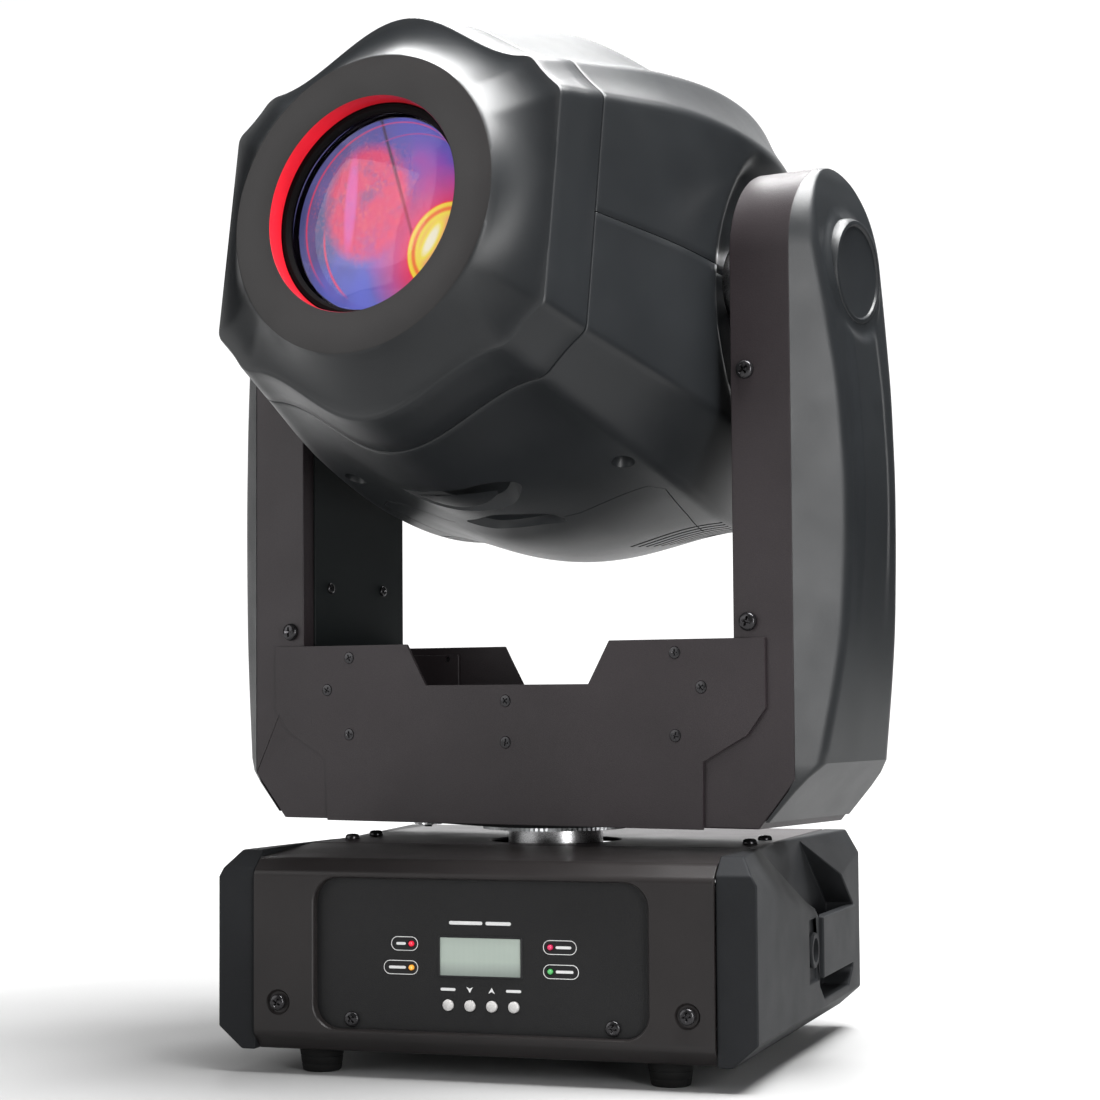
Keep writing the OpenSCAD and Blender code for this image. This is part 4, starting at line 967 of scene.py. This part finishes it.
heads = [((x, sign * (ARM_HALF + PLATE), z), facing, (3.6, 0.4, 1.7, 3), True)
         for sign, facing in ((-1, "front"), (1, "back")) for x, z in CROSS_SCREWS]
heads += [((x, sign * ARM_HALF, z), facing, (5.6, 3.6, 2, 6), False)
          for sign, facing in ((-1, "front"), (1, "back")) for x in (-167, 167) for z in (412, 264.5)]
heads += [((side * 155.5, y, 293.5), facing, (3.6, 1.8, 1.6, 1.4), False)
          for side, facing in ((1, "left"), (-1, "right")) for y in (-29, 30)]
fasteners("yoke_screws", "yoke", heads)
heads = [((x, y, SCREW_SEAT), "down", (4.2, 2.6, 1.9, 8), False) for x, y in CASING_SCREWS]
fasteners("head_screws", "head", heads)


# ---- Base

PANEL_LOW, PANEL_HIGH = box_mm("control_panel")
PANEL_Y = PANEL_LOW.y
FACE_Y = box_mm("front_cover")[0].y
FACE_SCREWS = [(-125, 42.5), (125, 42.5)]

# Side view of the front cover's wall, from its foot over the front to the lid and back inside
COVER_WALL = [(-134.3, 14), (-138, 14), (-148, 24), (-148, 119), (-138, 127), (-60.2, 131), (-60.2, 128),
              (-137, 124), (-145, 117), (-145, 25), (-136, 17), (-134.3, 15.8)]


def pill(x0, x1, z0, z1, r, steps=8):
    """Closed 2D outline of a rounded rectangle."""
    out = []
    for cx, cz, start in ((x1 - r, z1 - r, 0), (x0 + r, z1 - r, 90), (x0 + r, z0 + r, 180),
                          (x1 - r, z0 + r, 270)):
        for k in range(steps + 1):
            a = math.radians(start + 90 * k / steps)
            out.append((cx + r * math.cos(a), cz + r * math.sin(a)))
    return out


def raised(points, y):
    """A 2D outline of the front, placed at that depth."""
    return [(x, y, z) for x, z in points]


def opening(grow):
    """Outline of the front cover's opening, grown by that much beyond the visible panel."""
    low, high = PANEL_LOW, PANEL_HIGH
    return pill(low.x + 2 - grow, high.x - 2 + grow, low.z + 2 - grow, high.z - 2 + grow, 14 + grow, 14)


def front_cover():
    """Front cover as one wall across the base, with its two ends softened."""
    end = box_mm("front_cover")[1].x
    bm = bmesh.new()
    profile = rounded_loop(COVER_WALL, 2.6, 5)
    block(bm, [[(x, p.x, p.y) for p in profile] for x in (-end, end)])
    round_edges(bm, [e for e in bm.edges if abs(e.verts[0].co.x - e.verts[1].co.x) < 0.01], 0.5)
    return bm


def cover_cuts():
    """Opening for the panel with a rolled edge, and a dish round each face screw."""
    panel = bmesh.new()
    block(panel, [raised(opening(grow), FACE_Y + y) for y, grow in
                  ((-2, 2.2), (0, 1.7), (0.35, 1.2), (1.0, 0.75), (1.9, 0.5), (5, 0.5))])
    dishes = bmesh.new()
    for x, z in FACE_SCREWS:
        revolve(dishes, [(0, -FACE_Y + 2), (8.2, -FACE_Y + 2), (7.4, -FACE_Y - 0.3), (6.2, -FACE_Y - 1.5),
                         (0, -FACE_Y - 1.5)], "front", (x, 0, z), 48)
    return [panel, dishes]


piece("front_cover_moulded", front_cover(), cover_mat, "base", ("front_cover",), cover_cuts(),
      flat=True)
RIM = [raised(opening(grow), y) for grow, y in ((0.52, FACE_Y + 2.9), (2.5, FACE_Y + 2.9),
                                                (2.5, PANEL_Y - 0.1), (0.52, PANEL_Y - 0.1))]
piece("front_cover_rim", solid_of(grid, RIM, True, True), cover_mat, "base")
for node, mat, width in (("side_cover_right", side_mat, 1.2), ("side_cover_left", side_mat, 1.2),
                         ("handles", side_mat, 1.2), ("top_cover", powder_mat, 0.4),
                         ("rear_panel", powder_mat, 0.35), ("chassis_tray", steel_mat, 0.3),
                         ("power_inlet", black_mat, 0.4), ("data_sockets", black_mat, 0.4)):
    refine(node, mat, width)


def rubber_feet():
    """Tapered feet, wider at the top, with two shallow rings and a hollow for the screw."""
    bm = bmesh.new()
    low, high = box_mm("feet")
    top = high.z
    for x in (low.x + 14, high.x - 14):
        for y in (low.y + 14, high.y - 14):
            revolve(bm, [(2.3, 5), (6, 5), (6, 0.8), (6.8, 0), (10.2, 0), (11.2, 0.5), (11.6, 1.4), (12.0, 4),
                         (11.7, 4.5), (12.1, 5), (12.6, 8.6), (12.3, 9.1), (12.8, 9.6), (13.3, 12.4),
                         (13.9, 13.2), (13.9, top), (2.3, top)], "up", (x, y, 0), 64)
    return bm


piece("feet_moulded", rubber_feet(), rubber_mat, "base", ("feet",))


def key(node):
    """Domed key cap with a soft edge, and its flange behind the panel."""
    low, high = box_mm(node)
    middle = (low + high) / 2
    r = (high.x - low.x) / 2 - 1
    front, back = -low.y, -high.y
    profile = [(0, back), (r + 1, back), (r + 1, back + 1.6), (r, back + 1.6)]
    profile += dome(r, front - 1.5, 1.5, 10, 0.8)
    cap = solid_of(revolve, profile, "front", (middle.x, 0, middle.z), 48)
    piece(node + "_cap", cap, key_mat, nodes[node]["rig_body"], (node,))


KEYS = ("button_menu", "button_down", "button_up", "button_enter")
for node in KEYS:
    key(node)

# Indicator lamps: x, z, name, colour and strength of the light behind the cap
LAMPS = [(-42.6, 78.3, "red", (0.75, 0.02, 0.05), 0.8), (-42.6, 64.5, "amber", (0.85, 0.36, 0.05), 0.8),
         (42.6, 78.3, "crimson", (0.55, 0.02, 0.09), 0.7), (42.6, 64.5, "green", (0.08, 0.42, 0.12), 0.5)]
LAMP_R, LAMP_FRONT = 1.6, 1.7 - PANEL_Y
lamps = bmesh.new()
for k, (x, z, *_) in enumerate(LAMPS):
    revolve(lamps, [(0, LAMP_FRONT - 6), (LAMP_R, LAMP_FRONT - 6)]
            + dome(LAMP_R, LAMP_FRONT - LAMP_R, LAMP_R, 8, 1), "front", (x, 0, z), 32, mat=k)
piece("status_lamp_caps", lamps, [lamp_look("lamp " + n, rgb, s) for _, _, n, rgb, s in LAMPS], "base",
      ("status_lamps",))

PANEL_SCREWS = [(-80, 33.5), (80, 33.5)]


def window(grow, r):
    """Outline of the display window in the panel, grown by that much."""
    low, high = box_mm("display")
    margin = 4 - grow
    return pill(low.x + margin, high.x - margin, low.z + margin, high.z - margin, r, 4)


def control_panel():
    """Panel with a softened edge."""
    low, high, r = PANEL_LOW, PANEL_HIGH, 16
    bm = bmesh.new()
    block(bm, [raised(pill(low.x + i, high.x - i, low.z + i, high.z - i, r - i, 12), y)
               for i, y in ((0, high.y), (0, low.y + 0.5), (0.15, low.y + 0.15), (0.5, low.y))])
    return bm


def panel_holes():
    """Openings for the display, keys, lamps and screws, each with a small lead-in."""
    bm = bmesh.new()
    y = PANEL_Y
    block(bm, [raised(window(grow, r), y + level)
               for grow, r, level in ((0.65, 1.2, -1), (0.6, 1.2, 0), (0.25, 0.8, 0.4), (0.2, 0.8, 6))])
    round_holes = [(x, z, LAMP_R + 0.2) for x, z, *_ in LAMPS] + [(x, z, 1.8) for x, z in PANEL_SCREWS]
    for node in KEYS:
        low, high = box_mm(node)
        round_holes.append(((low.x + high.x) / 2, (low.z + high.z) / 2, (high.x - low.x) / 2 - 0.8))
    for x, z, r in round_holes:
        revolve(bm, [(0, 1 - y), (r + 0.5, 1 - y), (r + 0.35, -y), (r, -y - 0.35), (r, -y - 6), (0, -y - 6)],
                "front", (x, 0, z), 48)
    return bm


piece("control_panel_plate", control_panel(), panel_mat, "base", ("control_panel",),
      [panel_holes()], flat=True)

INK = 0.12


def printed(bm, loop, hole=None):
    """Thin raised print on the panel's face, as a solid or as a line between two outlines."""
    front, back = PANEL_Y - INK, PANEL_Y + 0.02
    if hole is None:
        block(bm, [raised(loop, front), raised(loop, back)])
    else:
        grid(bm, [raised(loop, back), raised(loop, front), raised(hole, front), raised(hole, back)],
             ring_rows=True, ring_cols=True)


INK_LINE, TITLE_Z, LABEL_Z = 0.38, 91, 52.6
# Length and half height of the outline round each lamp and its bar
TAG_LENGTHS, TAG_HALF = (16.7, 21.4, 20.2, 21.4), 4.1


def panel_marks():
    """Plain marks in place of words: outlines round the lamps, bars, and the arrows of two keys."""
    bm = bmesh.new()

    def bar(x0, x1, z, half, r):
        printed(bm, pill(x0, x1, z - half, z + half, r, 4))

    for (x, z, *_), length in zip(LAMPS, TAG_LENGTHS):
        away = 1 if x > 0 else -1
        x0, x1 = sorted((x - away * 4.2, x + away * (length - 4.2)))
        tag = [pill(x0 + t, x1 - t, z - TAG_HALF + t, z + TAG_HALF - t, 4.0 - t) for t in (0, INK_LINE)]
        printed(bm, *tag)
        bar(*sorted((x + away * 3.4, x + away * (length - 7.4))), z, 0.8, 0.75)
    for x0, x1 in ((-19, 1.5), (3.5, 19)):
        bar(x0, x1, TITLE_Z, 1.0, 0.9)
    for node in KEYS:
        low, high = box_mm(node)
        x = (low.x + high.x) / 2
        if node in ("button_menu", "button_enter"):
            bar(x - 4.6, x + 4.6, LABEL_Z, 0.8, 0.75)
        else:
            tip = -1.7 if node == "button_down" else 1.7
            printed(bm, [(x - 1.9, LABEL_Z - tip), (x, LABEL_Z - tip * 0.45), (x + 1.9, LABEL_Z - tip),
                         (x, LABEL_Z + tip)])
    return bm


piece("panel_marks", panel_marks(), ink_mat, "base")


def display_frame():
    """Thin dark lip round the display window."""
    levels = ((0.9, 0.1, 1.6), (0.9, -0.35, 1.6), (0.5, -0.6, 1.2), (0.0, -0.6, 0.8), (-0.3, -0.3, 0.6),
              (-0.3, 0.1, 0.6))
    loops = [raised(window(grow, r), PANEL_Y + level) for grow, level, r in levels]
    return solid_of(grid, loops, True, True)


piece("display_frame", display_frame(), black_mat, "base")

lid_z = box_mm("top_cover")[1].z
heads = [((x, y, lid_z), "up", (4.6, 3.2, 2, 5), False) for x in (-131, 131) for y in (-20, 20)]
heads += [((x, FACE_Y, z), "front", (4.8, 2.8, 2, 7), False) for x, z in FACE_SCREWS]
heads += [((x, PANEL_Y, z), "front", (4.6, 2.2, 1.6, 6), False) for x, z in PANEL_SCREWS]
heads += [((x, y, 5), "down", (4.5, 2.6, 2, 12), False) for x in (-108, 108) for y in (-122, 122)]
fasteners("base_screws", "base", heads)


# ---- Floor, lights and camera

def floor():
    """Pale paper under the object that runs up behind it in one curve. Further out it is lit by itself."""
    bm = bmesh.new()
    bend_y, wall_y, height, steps = 2.2, 3.4, 3.2, 12
    radius = wall_y - bend_y
    profile = [(-3.5 + 0.5 * k, 0.0) for k in range(12)]
    profile += [(bend_y + radius * math.sin(a), radius * (1 - math.cos(a)))
                for a in [math.pi / 2 * k / steps for k in range(1, steps + 1)]]
    profile.append((wall_y, height))
    grid(bm, [[(x, y, z) for y, z in profile] for x in (-4.2, -2.4, -1.0, 0.2, 1.2)])
    mesh = bpy.data.meshes.new("studio floor")
    bm.to_mesh(mesh)
    bm.free()
    mesh.shade_smooth()
    look = Look("studio paper").set(Roughness=0.9, Specular_IOR_Level=0.1, Emission_Strength=1.0)
    look.colour(look.mix(look.spread(look.noise(3, 2), 0, 1), (0.29, 0.29, 0.29), (0.32, 0.32, 0.32)))
    lit = look.spread(look.vector("LENGTH", look.coord), 0.0, 0.85, 0.5, 2.2)
    look.feed(look.shader.inputs["Emission Color"], look.mix(lit, (0, 0, 0), (1, 1, 1)))
    look.bump(look.noise(400), 0.0001)
    mesh.materials.append(look.mat)
    add_object("studio_floor", mesh)


def studio_world(ambient, backdrop):
    """White backdrop behind the object, and a dim room that lights it."""
    world = bpy.data.worlds.new("studio")
    bpy.context.scene.world = world
    world.use_nodes = True
    tree = world.node_tree
    ray = tree.nodes.new("ShaderNodeLightPath").outputs["Is Camera Ray"]
    strength = tree.nodes.new("ShaderNodeMapRange")
    strength.inputs["To Min"].default_value = ambient
    strength.inputs["To Max"].default_value = backdrop
    tree.links.new(ray, strength.inputs["Value"])
    tree.links.new(strength.outputs["Result"], tree.nodes["Background"].inputs["Strength"])
    tree.nodes["Background"].inputs["Color"].default_value = (1, 1, 1, 1)


def area_light(name, place, target, size, power):
    data = bpy.data.lights.new(name, "AREA")
    data.shape = "RECTANGLE"
    data.size, data.size_y = size
    data.energy = power
    obj = add_object(name, data)
    obj.location = place
    obj.rotation_euler = (Vector(target) - Vector(place)).to_track_quat("-Z", "Y").to_euler()


def camera():
    """Camera at the right of the object, low and tilted a little upwards."""
    yaw, pitch, roll = (math.radians(a) for a in (-18.20, 3.33, -0.40))
    data = bpy.data.cameras.new("camera")
    data.sensor_width = 36
    data.lens = 80.1
    obj = add_object("camera", data)
    obj.matrix_world = (Matrix.Translation((0.485, -1.483, 0.224)) @ Matrix.Rotation(-yaw, 4, "Z")
                        @ Matrix.Rotation(math.pi / 2 + pitch, 4, "X") @ Matrix.Rotation(roll, 4, "Z"))
    bpy.context.scene.camera = obj


floor()
area_light("overhead softbox", (0.6, -0.1, 2.1), (0, 0, 0.3), (1.2, 1.2), 165)
area_light("top back softbox", (-0.3, 1.2, 2.4), (0, 0, 0.5), (1.2, 0.6), 60)
area_light("low back softbox", (-0.9, 2.0, 1.3), (0, 0, 0.4), (1.0, 0.8), 8)
area_light("right softbox", (1.5, -1.5, 0.5), (0.2, 0, 0.35), (0.5, 1.2), 28)
area_light("left softbox", (-1.8, -1.3, 1.2), (0, 0, 0.4), (2.0, 2.0), 30)
studio_world(0.01, 1.0)
bpy.context.scene.view_settings.view_transform = "Standard"
camera()
